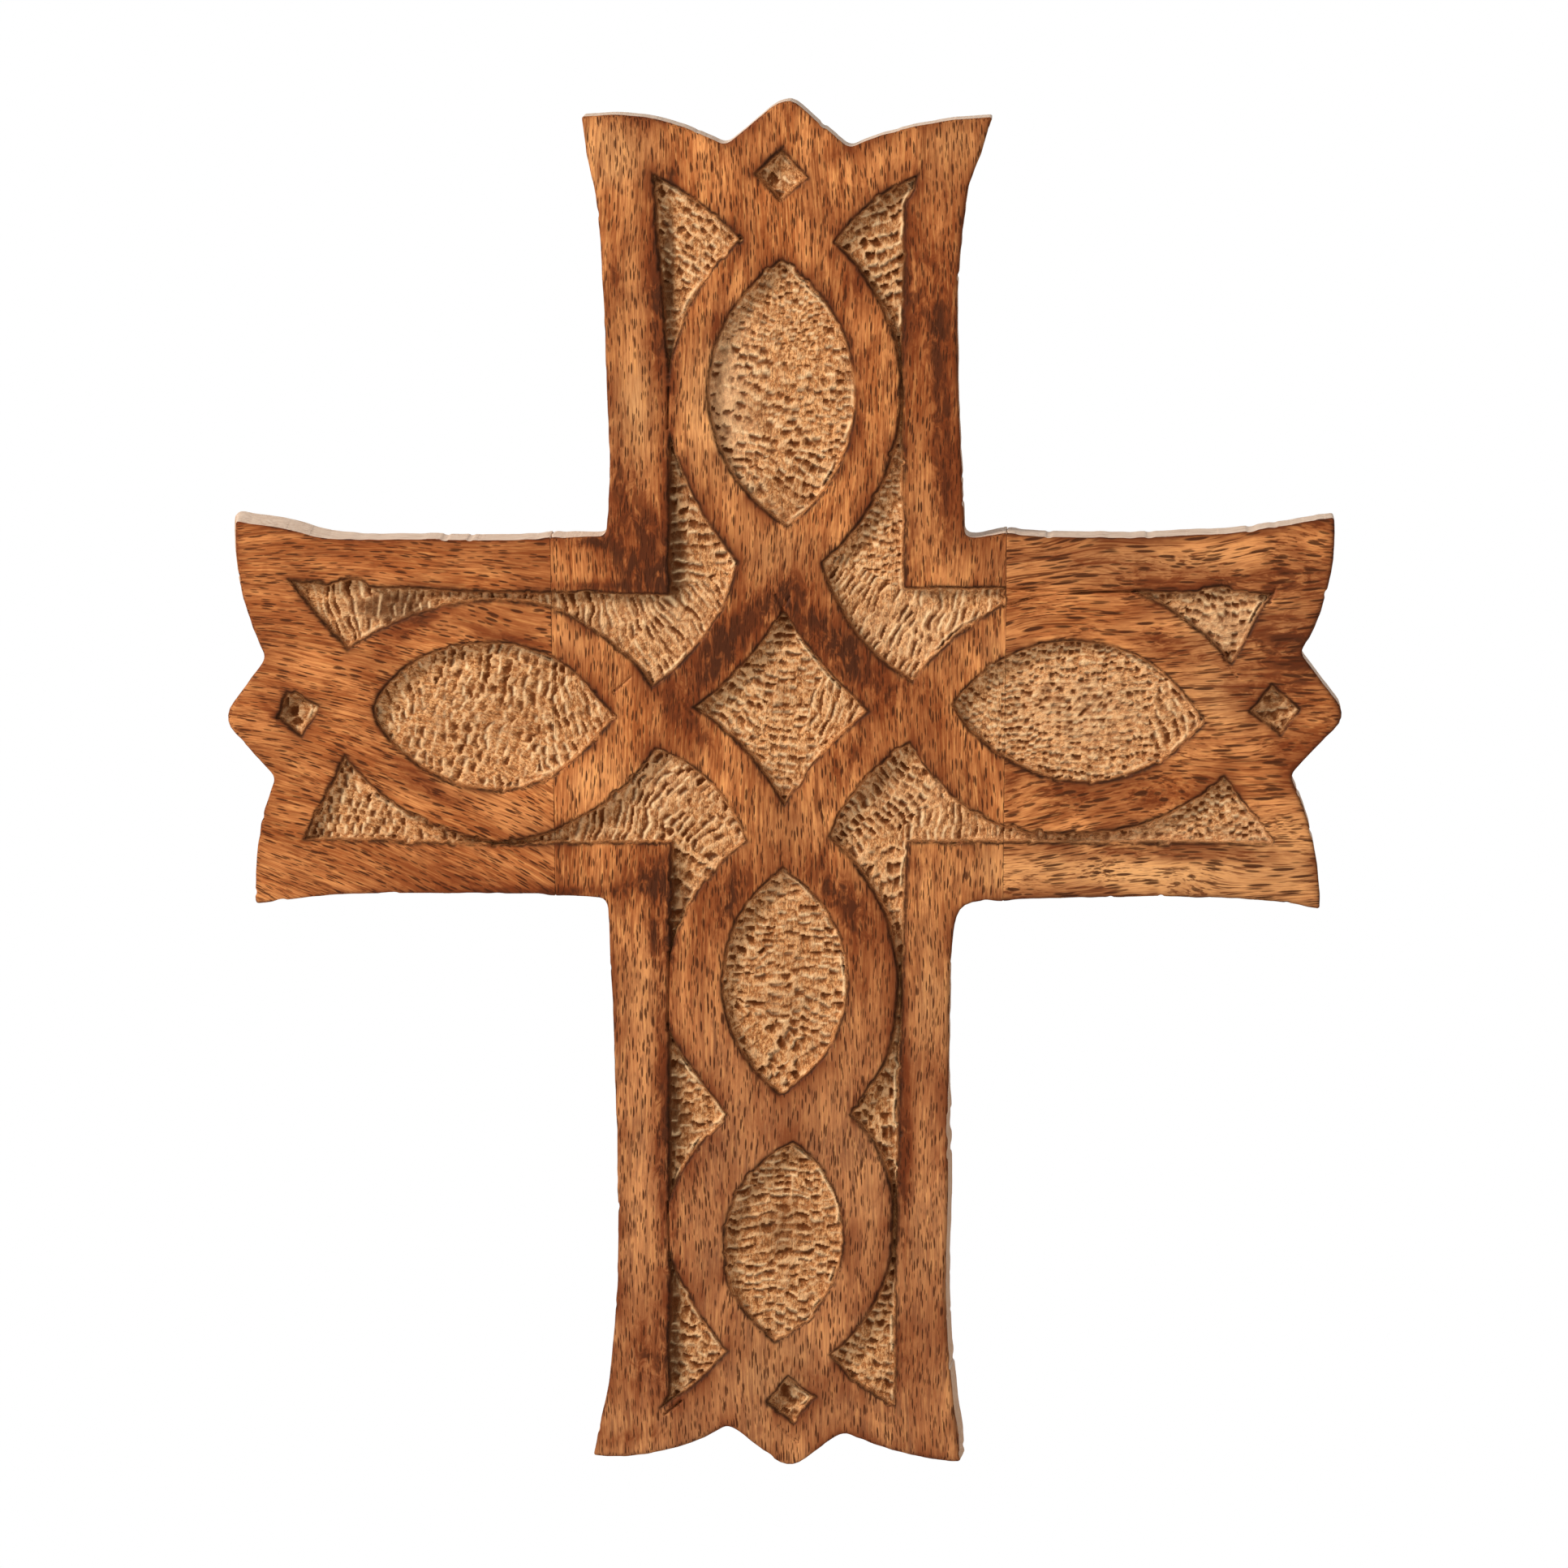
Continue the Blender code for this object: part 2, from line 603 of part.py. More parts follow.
def screw_profile(grow, length):
    """A countersunk screw from its tip to its head, each face moved out by the growth."""
    shank = SHANK_DIAMETER / 2 + grow
    head = HEAD_DIAMETER / 2 + grow
    return [(0, -length), (SCREW_TIP / 2, -length), (shank, -length + SHANK_DIAMETER), (shank, -HEAD_HEIGHT),
            (head, 0)]


def screw_places():
    heights = [PIVOT_HEIGHT - SCREW_FROM_PIVOT, PIVOT_HEIGHT - SCREW_FROM_PIVOT - SCREW_SPACING]
    return [(name, (0, STRAP_TOP_Y, height)) for name, height in zip(("upper", "lower"), heights)]


def make_screws(parts, cutters, board, strap, material):
    for name, place in screw_places():
        screw = turned("hanger_screw_" + name, screw_profile(0, SCREW_LENGTH) + [(0, 0)], place, parts)
        finish(screw, material, 35)
        outline = rounded_box_loop(-HEAD_DIAMETER, HEAD_DIAMETER, -SLOT_WIDTH / 2, SLOT_WIDTH / 2,
                                   SLOT_CORNER)
        slot = slab("slot_" + name, [outline], -SLOT_DEPTH, OVERRUN, cutters)
        slot.location += Vector(place) * MM
        subtract(screw, as_cutter(slot))
        hole = screw_profile(FIT, SCREW_LENGTH + FIT)
        hole += [(HEAD_DIAMETER / 2 + FIT, OVERRUN), (0, OVERRUN)]
        hole = as_cutter(turned("hole_" + name, hole, place, cutters))
        subtract(board, hole)
        subtract(strap, hole)


def eye_arc(radius, towards_end):
    """Points of the strap's curl round the pivot, as (distance towards the back, height)."""
    points = []
    for i in range(EYE_STEPS + 1):
        share = i / EYE_STEPS if towards_end else 1 - i / EYE_STEPS
        angle = math.pi - math.radians(EYE_TURN) * share
        points.append(Vector((math.cos(angle), math.sin(angle))) * radius)
    return points


def make_strap(parts, material):
    """A flat strip that curls round the ring's bar, drawn from the side and as wide as the strap."""
    outline = [Vector((-EYE_OUTER, -STRAP_LENGTH))] + eye_arc(EYE_OUTER, True)
    outline += eye_arc(EYE_INNER, False) + [Vector((-EYE_INNER, -STRAP_LENGTH))]
    item = flat_curve("hanger_strap", [outline], STRAP_WIDTH)
    item.rotation_euler = (math.pi / 2, 0, math.pi / 2)
    item.location = Vector((0, PIVOT_Y, PIVOT_HEIGHT)) * MM
    return finish(as_mesh(item, parts), material, 30)


def ring_points():
    """The wire's middle line: a bar along X through the pivot, and two sides that meet below it."""
    half = (RING_WIDTH - WIRE_DIAMETER) / 2
    drop = RING_HEIGHT - WIRE_DIAMETER / 2
    corners = [Vector((half, 0)), Vector((RING_TIP_HALF, -drop)), Vector((-RING_TIP_HALF, -drop)),
               Vector((-half, 0))]
    points = []
    for i, corner in enumerate(corners):
        before = corners[i - 1] - corner
        after = corners[(i + 1) % 4] - corner
        cut = min(RING_CORNER, before.length * MOST_OF_STEP, after.length * MOST_OF_STEP)
        first = corner + before.normalized() * cut
        last = corner + after.normalized() * cut
        for k in range(RING_CORNER_STEPS + 1):
            t = k / RING_CORNER_STEPS
            points.append(first * (1 - t) ** 2 + corner * 2 * t * (1 - t) + last * t * t)
    return points


def make_ring(parts, material):
    data = bpy.data.curves.new("hanger_ring", "CURVE")
    data.dimensions = "3D"
    data.bevel_depth = WIRE_DIAMETER / 2 * MM
    data.bevel_resolution = 2
    points = ring_points()
    spline = data.splines.new("POLY")
    spline.points.add(len(points) - 1)
    for point, place in zip(spline.points, points):
        point.co = (place.x * MM, 0, place.y * MM, 1)
    spline.use_cyclic_u = True
    data.materials.append(material)
    item = bpy.data.objects.new("hanger_ring", data)
    item.location = Vector((0, PIVOT_Y, PIVOT_HEIGHT)) * MM
    parts.objects.link(item)
    return item


def main():
    clear_scene()
    parts = make_collection("wall_cross")
    cutters = make_collection("cutters")
    materials = {name: make_material(name) for name in COLOURS}
    pocket_slab = slab("pockets", pocket_loops(), -THICKNESS - OVERRUN, -THICKNESS + CARVE_DEPTH, cutters)
    pockets = as_cutter(pocket_slab)
    slots = {"centre_board": "mango_wood", "left_arm": "mango_wood_left", "right_arm": "mango_wood_right"}
    boards = {}
    for name, outline in board_outlines().items():
        boards[name] = finish(slab(name, [outline], -THICKNESS, 0, parts), materials[slots[name]])
        subtract(boards[name], pockets)
    outline = rounded_box_loop(-RECESS_WIDTH / 2, RECESS_WIDTH / 2, RECESS_BOTTOM, RECESS_TOP,
                               RECESS_CORNER)
    recess = slab("recess", [outline], -RECESS_DEPTH, OVERRUN, cutters)
    subtract(boards["centre_board"], as_cutter(recess))
    make_dowels(parts, cutters, boards, materials["beech_dowel"])
    strap = make_strap(parts, materials["zinc_strap"])
    make_screws(parts, cutters, boards["centre_board"], strap, materials["screw_steel"])
    make_ring(parts, materials["wire_steel"])


main()
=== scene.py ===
import math

import bmesh
import bpy
import numpy as np
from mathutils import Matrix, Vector


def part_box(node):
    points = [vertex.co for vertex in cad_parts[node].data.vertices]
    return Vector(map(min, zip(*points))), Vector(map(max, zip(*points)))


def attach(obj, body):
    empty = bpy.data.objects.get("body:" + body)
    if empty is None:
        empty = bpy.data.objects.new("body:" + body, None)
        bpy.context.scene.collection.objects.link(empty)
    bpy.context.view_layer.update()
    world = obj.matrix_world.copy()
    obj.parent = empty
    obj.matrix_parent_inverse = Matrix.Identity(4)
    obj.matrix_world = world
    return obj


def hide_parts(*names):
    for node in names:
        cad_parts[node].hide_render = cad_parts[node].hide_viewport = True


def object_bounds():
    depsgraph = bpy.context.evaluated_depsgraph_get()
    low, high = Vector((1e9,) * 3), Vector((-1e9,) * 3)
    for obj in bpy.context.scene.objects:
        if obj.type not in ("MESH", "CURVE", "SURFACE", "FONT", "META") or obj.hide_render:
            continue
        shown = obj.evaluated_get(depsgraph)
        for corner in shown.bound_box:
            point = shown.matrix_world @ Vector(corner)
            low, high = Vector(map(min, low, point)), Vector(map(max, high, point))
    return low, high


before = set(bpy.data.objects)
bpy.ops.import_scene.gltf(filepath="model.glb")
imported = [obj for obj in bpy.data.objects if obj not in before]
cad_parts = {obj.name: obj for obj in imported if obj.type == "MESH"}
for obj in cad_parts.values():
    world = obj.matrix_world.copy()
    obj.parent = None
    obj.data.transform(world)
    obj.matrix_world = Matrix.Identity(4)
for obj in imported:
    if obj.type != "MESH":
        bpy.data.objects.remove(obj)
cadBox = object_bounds()
mm = 0.001
boardNames = ["centre_board", "left_arm", "right_arm"]
print("frame loaded")

# Carving values
burnAndShadowMarks = [  # across, up, half width, half height, turn, strength; in mm and degrees
    (-31.8, 134.2, 4, 7.2, 0, 0.35), (-28.6, 98, 2.2, 21.7, 0, 0.6), (-37.6, 98, 2.2, 12.7, 0, 0.45),
    (-36.3, 51, 4, 10.8, 0, 0.5), (-30.9, 34.7, 7.6, 10.5, 0, 1), (-15.5, 87.1, 3.3, 10.8, -15, 0.4),
    (17.4, 98, 5.1, 10.8, -20, 0.5), (15.5, 72.7, 2.5, 9, 0, 0.3), (35.1, 78.1, 2.9, 27.1, 0, 0.72),
    (29.3, 89, 4.5, 10.8, 0, 0.45), (36, 52.8, 3.3, 10.8, 0, 0.55), (43.2, 132.3, 5.1, 4.5, 0, 0.35),
    (15.2, 126.9, 10.8, 2.2, 20, 0.4), (0.7, 136, 2.2, 4.5, 0, 0.35), (8, 112.5, 5.4, 5.4, 0, 0.25),
    (20.6, 47.4, 5.1, 7.2, 0, 0.35), (-12.8, 15.7, 4.3, 14.1, -45, 0.95), (13, 14.8, 4.7, 14.8, 45, 0.9),
    (-19.2, -3.3, 3.3, 10.8, 40, 0.45), (15.2, -8.7, 3.6, 10.8, -40, 0.45), (3.4, 25.7, 5.1, 5.4, 0, 0.5),
    (26.4, 5.4, 7.2, 5.1, 0, 0.3), (33.3, -0.5, 3.6, 7.2, 0, 0.3), (-35.4, -21.3, 6.1, 3.3, 30, 0.35),
    (-11.9, -34.9, 4.7, 6.1, 40, 0.35), (-12.3, -42.1, 3.6, 10.1, -35, 0.6),
    (13.7, -41.2, 4.3, 11.9, 40, 0.7), (17.4, -57.5, 2.5, 9, 20, 0.35), (-30, -36.7, 6.9, 5.4, 0, 0.65),
    (-28.9, -48.5, 2.2, 10.8, 0, 0.5), (29.7, -32.2, 5.4, 3.3, 0, 0.35),
    (-27.8, -75.6, 1.4, 21.7, 0, 0.5), (-27.8, -99.1, 1.4, 14.5, 0, 0.5),
    (23.5, -75.6, 1.8, 14.5, 0, 0.35), (-1.1, -92.2, 8, 3.3, 0, 0.2), (-35.4, -99.1, 1.8, 9, 0, 0.2),
    (-19.2, -146.4, 9, 2.5, 20, 0.3), (7.1, -147.9, 9, 2.5, -25, 0.3), (33.3, -73.8, 2.9, 14.5, 0, 0.25),
    (-34.5, -161.5, 10.8, 1.8, 10, 0.3), (-98.7, 36.2, 21.7, 2.2, -3, 0.25),
    (-58.9, 35.1, 9, 2.5, 0, 0.2), (-41.8, 39.4, 7.2, 1.6, 0, 0.65), (-73.4, -35.4, 16.3, 4, -25, 0.35),
    (-55.3, -38.9, 19.9, 1.3, 0, 0.75), (-115, 14.8, 4.7, 10.8, 0, 0.15), (-111, 1.8, 4.7, 4.7, 0, 0.6),
    (-86.8, 16.3, 8, 1.8, 35, 0.4), (-58.9, 17.4, 10.8, 1.3, -12, 0.4),
    (-73.4, -19.5, 16.3, 1.6, -35, 0.35), (-81.5, -14.1, 5.4, 1.8, -35, 0.4),
    (65.8, 35.1, 18.1, 2.2, -4, 0.4), (96.5, 30, 21.7, 2.4, 0, 0.6), (111.9, 34.7, 5.1, 5.4, 0, 0.35),
    (107.4, 16.6, 10.8, 8.3, 0, 0.5), (115, 14.8, 6.1, 10.8, 0, 0.5), (104.7, 5.4, 11.9, 3.3, -5, 0.38),
    (113.2, -9.6, 5.4, 5.4, 0, 0.5), (85.7, 16.3, 11.9, 3.3, -20, 0.4),
    (83.9, -18.1, 12.7, 2.5, 10, 0.35), (58.6, -14.5, 10.8, 2.4, -15, 0.35),
    (50.1, -4.2, 1.6, 14.5, 0, 0.25), (76.7, -29.7, 19.9, 1.3, -3, 0.25), (51.3, 34.7, 3.6, 4.7, 0, 0.15),
    (8, -32.2, 4.3, 3.6, 0, 0.3), (-21.5, -91, 4, 12, 0, 0.6), (26, -94, 2.6, 16, 0, 0.5),
    (-22.5, -136, 4, 13, 0, 0.45), (23.5, -144, 4.5, 8, 0, 0.3), (-31, -143, 6.5, 13, 0, 0.5),
    (-26.5, 92, 3, 14, 0, 0.35), (27, 98, 4, 20, 0, 0.4), (-1, -115, 9, 15, 0, 0.6),
    (0, -60, 8, 12, 0, 0.3), (-88, 24.5, 11, 4, 0, 0.9), (-60, 2, 15, 8, 0, 0.5),
    # the marks at x -25.3 and the one at (-40, 29.3) are painted shadow: along the pockets' left walls and
    # under the left arm's root
    (30, -145, 4, 12, 0, 0.2), (-22.5, 33, 3.5, 12, 0, 0.5), (-25.3, 103, 1.6, 19, 0, 0.85),
    (-25.3, 45, 1.6, 22, 0, 0.9), (-25.3, -45, 1.5, 16, 0, 0.8), (-25.3, -90, 1.6, 17, 0, 0.85),
    (-25.3, -136, 1.5, 17, 0, 0.85), (-40, 29.3, 14, 1.1, 0, 0.6), (26.8, 98, 1, 18, 0, 0.5),
    (27, -92, 1, 26, 0, 0.6), (84, -30.6, 26, 0.9, 0, 0.35), (-21, 3, 4, 3, 40, 0.2),
    (-12, 20, 5, 4, 50, 0.35), (11, 20, 4, 5, 40, 0.35),
]
paleMarks = [  # the same for places where the wood is lighter
    (83, -34.5, 44, 7, 0, 1.1), (66, 2, 16, 9, 0, 0.7), (-19, 70, 4, 14, 0, 0.3),
    (100, 22, 10, 5, 0, 1.1), (-33.5, 69, 5, 13, 0, 1.15), (-34.5, 96, 5, 12, 0, 0.4),
    (-36, 128, 8, 5, 0, 0.75), (28, 21, 12, 6, 0, 0.5), (78, 35, 26, 4.5, 0, 0.8), (97, 6, 9, 9, 0, 0.8),
    (98, 21, 8, 5, 0, 0.9), (115, 18, 6, 9, 0, 0.8), (112, -26, 9, 9, 0, 0.5), (-2, 36, 9, 7, 0, 0.45),
    (-37, 122, 6, 4, 0, 0.65), (26, 18, 10, 6, 0, 0.4), (-27, -15, 7, 5, 0, 0.4),
    (33, -62, 5, 15, 0, 0.6), (0, -146, 9, 6, 0, 0.55), (31, 47, 5, 9, 0, 0.3),
    (-20, 66, 3.5, 13, 0, 0.45), (38, 128, 8, 8, 0, 0.5), (-62, 2, 16, 8, 0, -0.3),
    (-24, 9, 7, 5, 0, 0.4), (-46, 16, 6, 4, -30, 0.35), (-44, -14, 6, 4, 30, 0.35),
    (2, -24, 7, 6, 0, 0.45), (46, 14, 5, 4, 30, 0.3), (-90, 24, 9, 4, 0, 0.6),
    (-12.5, 71, 4.5, 15, 0, 1.6), (-27, 22, 12, 6, 0, 0.45), (29.6, -18.6, 9, 5, 0, 0.45),
    (-32, -62, 5, 14, 0, 0.35),
]

gougeZones = [  # across, up, half width, half height, stroke direction, cut width, step, depth, darkness: painted shade at the cuts' deep ends, and stain
    (-0.2, 92.6, 10.8, 9, 82, 1.5, 1.5, 0.3, 0.35),  # topLensUpper
    (-7.4, 67.3, 8.1, 12.7, 72, 2.2, 2.5, 0.46, 0.8),  # topLensLeft
    (12.5, 72.7, 7.2, 12.7, 92, 1.8, 2, 0.34, 0.5),  # topLensRight
    (-0.2, 49.2, 10.8, 10.8, 66, 2.2, 2.4, 0.5, 1),  # topLensLow
    (-20.1, 107, 9, 10.8, 55, 2, 2, 0.42, 0.55),  # topLeftTip
    (-23.7, 85.3, 5.4, 10.8, 80, 1.7, 2.2, 0.35, 0.35),  # topLeftTail
    (25.1, 110.6, 9, 10.8, 115, 2.2, 2.4, 0.55, 0.75),  # topRightTip
    (31.5, 83.5, 3.6, 14.5, 88, 1.4, 3, 0.35, 0.5),  # topRightTail
    (-23.7, 41.9, 7.2, 12.7, 88, 2.8, 2.3, 0.5, 0.95),  # upperLeftDown
    (-21.9, 20.2, 9, 9, 35, 4.2, 1.6, 0.45, 0.5),  # upperLeftCorner
    (-44.5, 24.8, 12.7, 7.2, 12, 5.6, 1.6, 0.45, 0.5),  # upperLeftOut
    (25.1, 41.9, 7.2, 12.7, 92, 1.6, 1.7, 0.34, 0.3),  # upperRightDown
    (18.8, 22.1, 9, 9, -32, 4.4, 1.6, 0.5, 0.45),  # upperRightCorner
    (40.5, 24.8, 10.8, 7.2, -6, 4.6, 1.6, 0.4, 0.35),  # upperRightOut
    (-0.2, 9.4, 6.3, 10.8, 88, 2.6, 1.9, 0.5, 1),  # starMiddle
    (-11, 2.5, 7.2, 5.4, 60, 2, 2.2, 0.4, 0.4),  # starLeft
    (13.4, 2.5, 7.2, 5.4, -25, 4.4, 1.6, 0.45, 0.4),  # starRight
    (-0.2, -12.3, 5.4, 7.2, 80, 2, 1.8, 0.35, 0.4),  # starLow
    (-40.9, -23.1, 14.5, 7.2, -18, 5, 1.7, 0.45, 0.55),  # lowerLeftOut
    (-20.1, -18.6, 9, 9, -40, 2.4, 1.9, 0.45, 0.6),  # lowerLeftCorner
    (-23.7, -43, 5.4, 12.7, 82, 2, 3, 0.38, 0.45),  # lowerLeftDown
    (20.6, -15.9, 9, 9, 48, 2.2, 2, 0.5, 0.95),  # lowerRightCorner
    (38.7, -25.9, 10.8, 5.4, 0, 4, 1.7, 0.4, 0.5),  # lowerRightOut
    (23.3, -44.8, 4.5, 14.5, 85, 1.6, 3.4, 0.4, 0.55),  # lowerRightDown
    (-58.9, 10.3, 16.3, 7.2, -14, 2.7, 2.2, 0.42, 0.7),  # leftLensTop
    (-73.4, -3.3, 14.5, 7.2, -8, 2.7, 2.3, 0.4, 0.45),  # leftLensMiddle
    (-84.3, 5.8, 5.4, 9, 20, 2.2, 2.1, 0.35, 0.3),  # leftLensEnd
    (-45.4, 0.4, 7.2, 10.8, 20, 3, 1.9, 0.42, 0.4),  # leftLensRoot
    (-96.9, 21.2, 10.8, 7.2, 8, 5, 1.7, 0.5, 0.6),  # leftUpperTip
    (-80.6, 24.8, 9, 3.6, 4, 2.6, 2.1, 0.36, 0.45),  # leftUpperTail
    (-96.9, -23.1, 10.8, 7.2, -4, 1.9, 2, 0.42, 0.5),  # leftLowerTip
    (-73.4, -26.8, 12.7, 3.6, 6, 2.6, 2.1, 0.34, 0.35),  # leftLowerTail
    (65.8, 3.1, 18.1, 12.7, 90, 1.3, 1.7, 0.4, 0.6),  # rightLens
    (43.2, 2.2, 5.4, 9, 75, 1.2, 1.8, 0.28, 0.4),  # rightLensRoot
    (87.5, 0.4, 7.2, 7.2, 30, 2.2, 2.2, 0.4, 0.4),  # rightLensEnd
    (98.4, 21.2, 10.8, 7.2, 80, 1.6, 2, 0.45, 0.5),  # rightUpperTip
    (83.9, 26.6, 7.2, 2.9, 85, 2, 2, 0.3, 0.3),  # rightUpperTail
    (98.4, -24, 10.8, 5.4, 88, 1.4, 1.7, 0.4, 0.45),  # rightLowerTip
    (78.5, -26.8, 10.8, 2.5, 86, 1.8, 2, 0.3, 0.3),  # rightLowerTail
    (-0.2, -50.3, 9, 9, 88, 2.4, 1.9, 0.4, 0.6),  # firstLensUpper
    (1.6, -62.9, 9, 9, 86, 2.6, 2.2, 0.45, 0.6),  # firstLensMiddle
    (-4.7, -73.8, 9, 9, 130, 1.8, 3.2, 0.42, 0.6),  # firstLensLow
    (0.7, -100.9, 9, 7.2, 88, 1.8, 1.7, 0.35, 0.45),  # secondLensUpper
    (-2.9, -113.5, 10.8, 9, 91, 4, 2.1, 0.5, 1),  # secondLensMiddle
    (-2.9, -128, 9, 7.2, 86, 2.4, 2, 0.42, 0.5),  # secondLensLow
    (-21.9, -88.2, 5.4, 10.8, 84, 2.2, 2.6, 0.42, 0.6),  # middleLeft
    (23.3, -93.7, 4.5, 19.9, 86, 1.5, 3.2, 0.45, 0.7),  # middleRight
    (-19.2, -144.3, 7.2, 7.2, 65, 2.2, 2.3, 0.5, 0.5),  # bottomLeft
    (-22.8, -129.8, 3.6, 7.2, 86, 1.5, 3.2, 0.4, 0.7),  # bottomLeftTail
    (23.3, -141.6, 7.2, 7.2, 70, 2, 2.1, 0.5, 0.6),  # bottomRight
    (25.1, -150.6, 5.4, 3.6, 60, 2, 2.6, 0.55, 0.9),  # bottomRightLow
    (0, 119.3, 4, 4, 62, 2.6, 4, 0.25, 0.6),  # topDiamond
    (108.8, 0, 4, 4, 98, 2.6, 4, 0.25, 0.7),  # rightDiamond
    (0.7, -153, 4, 4, 60, 2.2, 4, 0.25, 0.8),  # bottomDiamond
    (-108.5, 0, 4, 4, 10, 2.4, 3, 0.35, 0.8),  # leftDiamond
]

carving = {
    "cell": 0.27,           # finest mesh step, mm
    "wallRun": 0.95,        # how far a pocket's wall runs in before it reaches the floor
    "ledgeHeight": 0.55,    # share of the depth at which some walls have a ledge
    "rimRound": 1.0,        # wear on the outline's front edge
    "floorSwell": 0.3,      # how uneven the floors are
    "faceSwell": 0.07,      # how uneven the planed face is
    "handWobble": 0.19,     # how far a cut wanders from its line
    "grooveHalf": 0.42,     # half width of the knife grooves
    "jointFill": 0.11,      # how far each board reaches into the gap at a glue joint
    "armRise": 0.018,       # how much higher per mm the arms' upper halves were cut
    "armRimRise": 0.65,     # and their upper rim beyond that
    "shaftLean": 0.9,       # how far the back edge stands out: right side of the lower shaft
    "endLean": 1.35,        # the left arm's end
    "topLean": 0.3,         # the arms' upper sides
    "crestHalf": 0.24,      # half width of the torn crest where a cut ends
    "crestHeight": 0.12,    # how far that crest stands up
    "gougeScale": 1.5,      # how deep the gouge cuts are beside the table's values
    "cutShadeAndStainScale": 2.3,      # how dark the painted shade at their torn ends is, partly stain, beside the table's values
}

# Knife grooves: (x, z) points in mm, then depth
knifeGrooves = [
    ([(-25.7, 73.5), (-25.9, 64.5)], 1.3), ([(-25.6, -52.5), (-26.0, -70.0)], 1.3),
    ([(-26.0, -108.5), (-25.6, -121.5)], 1.3), ([(49.0, 28.8), (62.0, 28.2), (79.0, 28.3)], 0.9),
    ([(49.0, 24.9), (56.0, 27.0), (66.0, 28.0), (78.0, 28.2)], 0.8), ([(-1.9, 27.4), (0.2, 23.2)], 0.6),
    ([(1.2, 27.0), (-0.7, 23.4)], 0.5), ([(-38.0, 5.5), (-34.0, 9.2)], 0.5),
    ([(-95.6, 15.8), (-90.0, 21.2)], 0.7), ([(-94.5, -12.4), (-90.4, -17.2)], 0.4),
    ([(-26.7, -156.2), (-23.0, -153.2)], 1.2), ([(-9.3, -161.2), (-9.3, -161.3)], 0.1),
    ([(-20.5, 0.6), (-22.5, 3.9)], 0.5), ([(2.9, -162.3), (-1.2, -158.8)], 0.5),
    ([(76.0, 28.2), (96.0, 20.5)], 0.5), ([(107.9, 25.6), (109.3, 29.0)], 0.5),
    ([(101.0, 9.0), (98.0, 12.9)], 0.4),
]


# Small tools for fields
def softNoise(x, z, size, seed):
    # smooth random field from -1 to 1 whose bumps are about size mm across
    table = np.random.default_rng(seed).uniform(-1, 1, (128, 128))
    u = x / size + 512.0
    v = z / size + 512.0
    i = np.floor(u).astype(int)
    j = np.floor(v).astype(int)
    f = u - i
    g = v - j
    f = f * f * (3 - 2 * f)
    g = g * g * (3 - 2 * g)
    low = table[j % 128, i % 128] * (1 - f) + table[j % 128, (i + 1) % 128] * f
    high = table[(j + 1) % 128, i % 128] * (1 - f) + table[(j + 1) % 128, (i + 1) % 128] * f
    return low * (1 - g) + high * g


def layeredNoise(x, z, size, seed, layers=3):
    total = np.zeros_like(x)
    for k in range(layers):
        total += softNoise(x, z, size / 2 ** k, seed + 17 * k) / 2 ** k
    return total / (2 - 0.5 ** (layers - 1))


def blendStep(low, high, value):
    t = np.clip((value - low) / (high - low), 0, 1)
    return t * t * (3 - 2 * t)


def randomOf(i, j, seed):
    # a steady random number from 0 to 1 for each pair of whole numbers
    n = (i * 374761393 + j * 668265263 + seed * 2147483647) & 0xFFFFFFFF
    n = ((n ^ (n >> 13)) * 1274126177) & 0xFFFFFFFF
    return ((n ^ (n >> 16)) & 0xFFFF) / 65535.0


def planeEdges(nodeName, level, facing):
    # edges round a node's flat faces at y = level mm, with the direction that points out of them
    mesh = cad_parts[nodeName].data
    mesh.calc_loop_triangles()
    spots = np.empty(len(mesh.vertices) * 3)
    mesh.vertices.foreach_get("co", spots)
    spots = spots.reshape(-1, 3) / mm
    corners = np.empty(len(mesh.loop_triangles) * 3, int)
    mesh.loop_triangles.foreach_get("vertices", corners)
    corners = corners.reshape(-1, 3)
    a, b, c = spots[corners[:, 0]], spots[corners[:, 1]], spots[corners[:, 2]]
    normal = np.cross(b - a, c - a)
    length = np.linalg.norm(normal, axis=1)
    flat = (length > 1e-9) & (normal[:, 1] * facing > 0.999 * length)
    flat &= np.abs((a[:, 1] + b[:, 1] + c[:, 1]) / 3 - level) < 0.05
    found = {}
    for tri in corners[flat]:
        places = [tuple(np.round(spots[v][[0, 2]], 3)) for v in tri]
        for k in range(3):
            p, q, other = places[k], places[(k + 1) % 3], places[(k + 2) % 3]
            if p != q:
                found.setdefault(frozenset((p, q)), []).append((p, q, other))
    edges = []
    for uses in found.values():
        if len(uses) != 1:
            continue
        p, q, other = uses[0]
        nx, nz = q[1] - p[1], p[0] - q[0]
        size = math.hypot(nx, nz)
        if (other[0] - p[0]) * nx + (other[1] - p[1]) * nz > 0:
            nx, nz = -nx, -nz
        edges.append((p[0], p[1], q[0], q[1], nx / size, nz / size))
    return np.array(edges)


def pointsInside(edges, x, z):
    # whether points lie inside the area that the edges bound
    inside = np.zeros(len(x), bool)
    for x0, z0, x1, z1 in edges[:, :4]:
        if z0 == z1:
            continue
        crosses = (z0 > z) != (z1 > z)
        inside ^= crosses & (x < x0 + (z - z0) / (z1 - z0) * (x1 - x0))
    return inside


def gridInside(edges, xs, zs):
    flips = np.zeros((len(zs), len(xs) + 1), int)
    step = xs[1] - xs[0]
    for x0, z0, x1, z1 in edges[:, :4]:
        if z0 > z1:
            x0, z0, x1, z1 = x1, z1, x0, z0
        rows = np.arange(math.ceil((z0 - zs[0]) / step), math.ceil((z1 - zs[0]) / step))
        if len(rows) == 0:
            continue
        crossing = x0 + (zs[rows] - z0) / (z1 - z0) * (x1 - x0)
        columns = np.clip(np.ceil((crossing - xs[0]) / step).astype(int), 0, len(xs))
        flips[rows, columns] += 1
    return np.cumsum(flips[:, :-1], axis=1) % 2 == 1


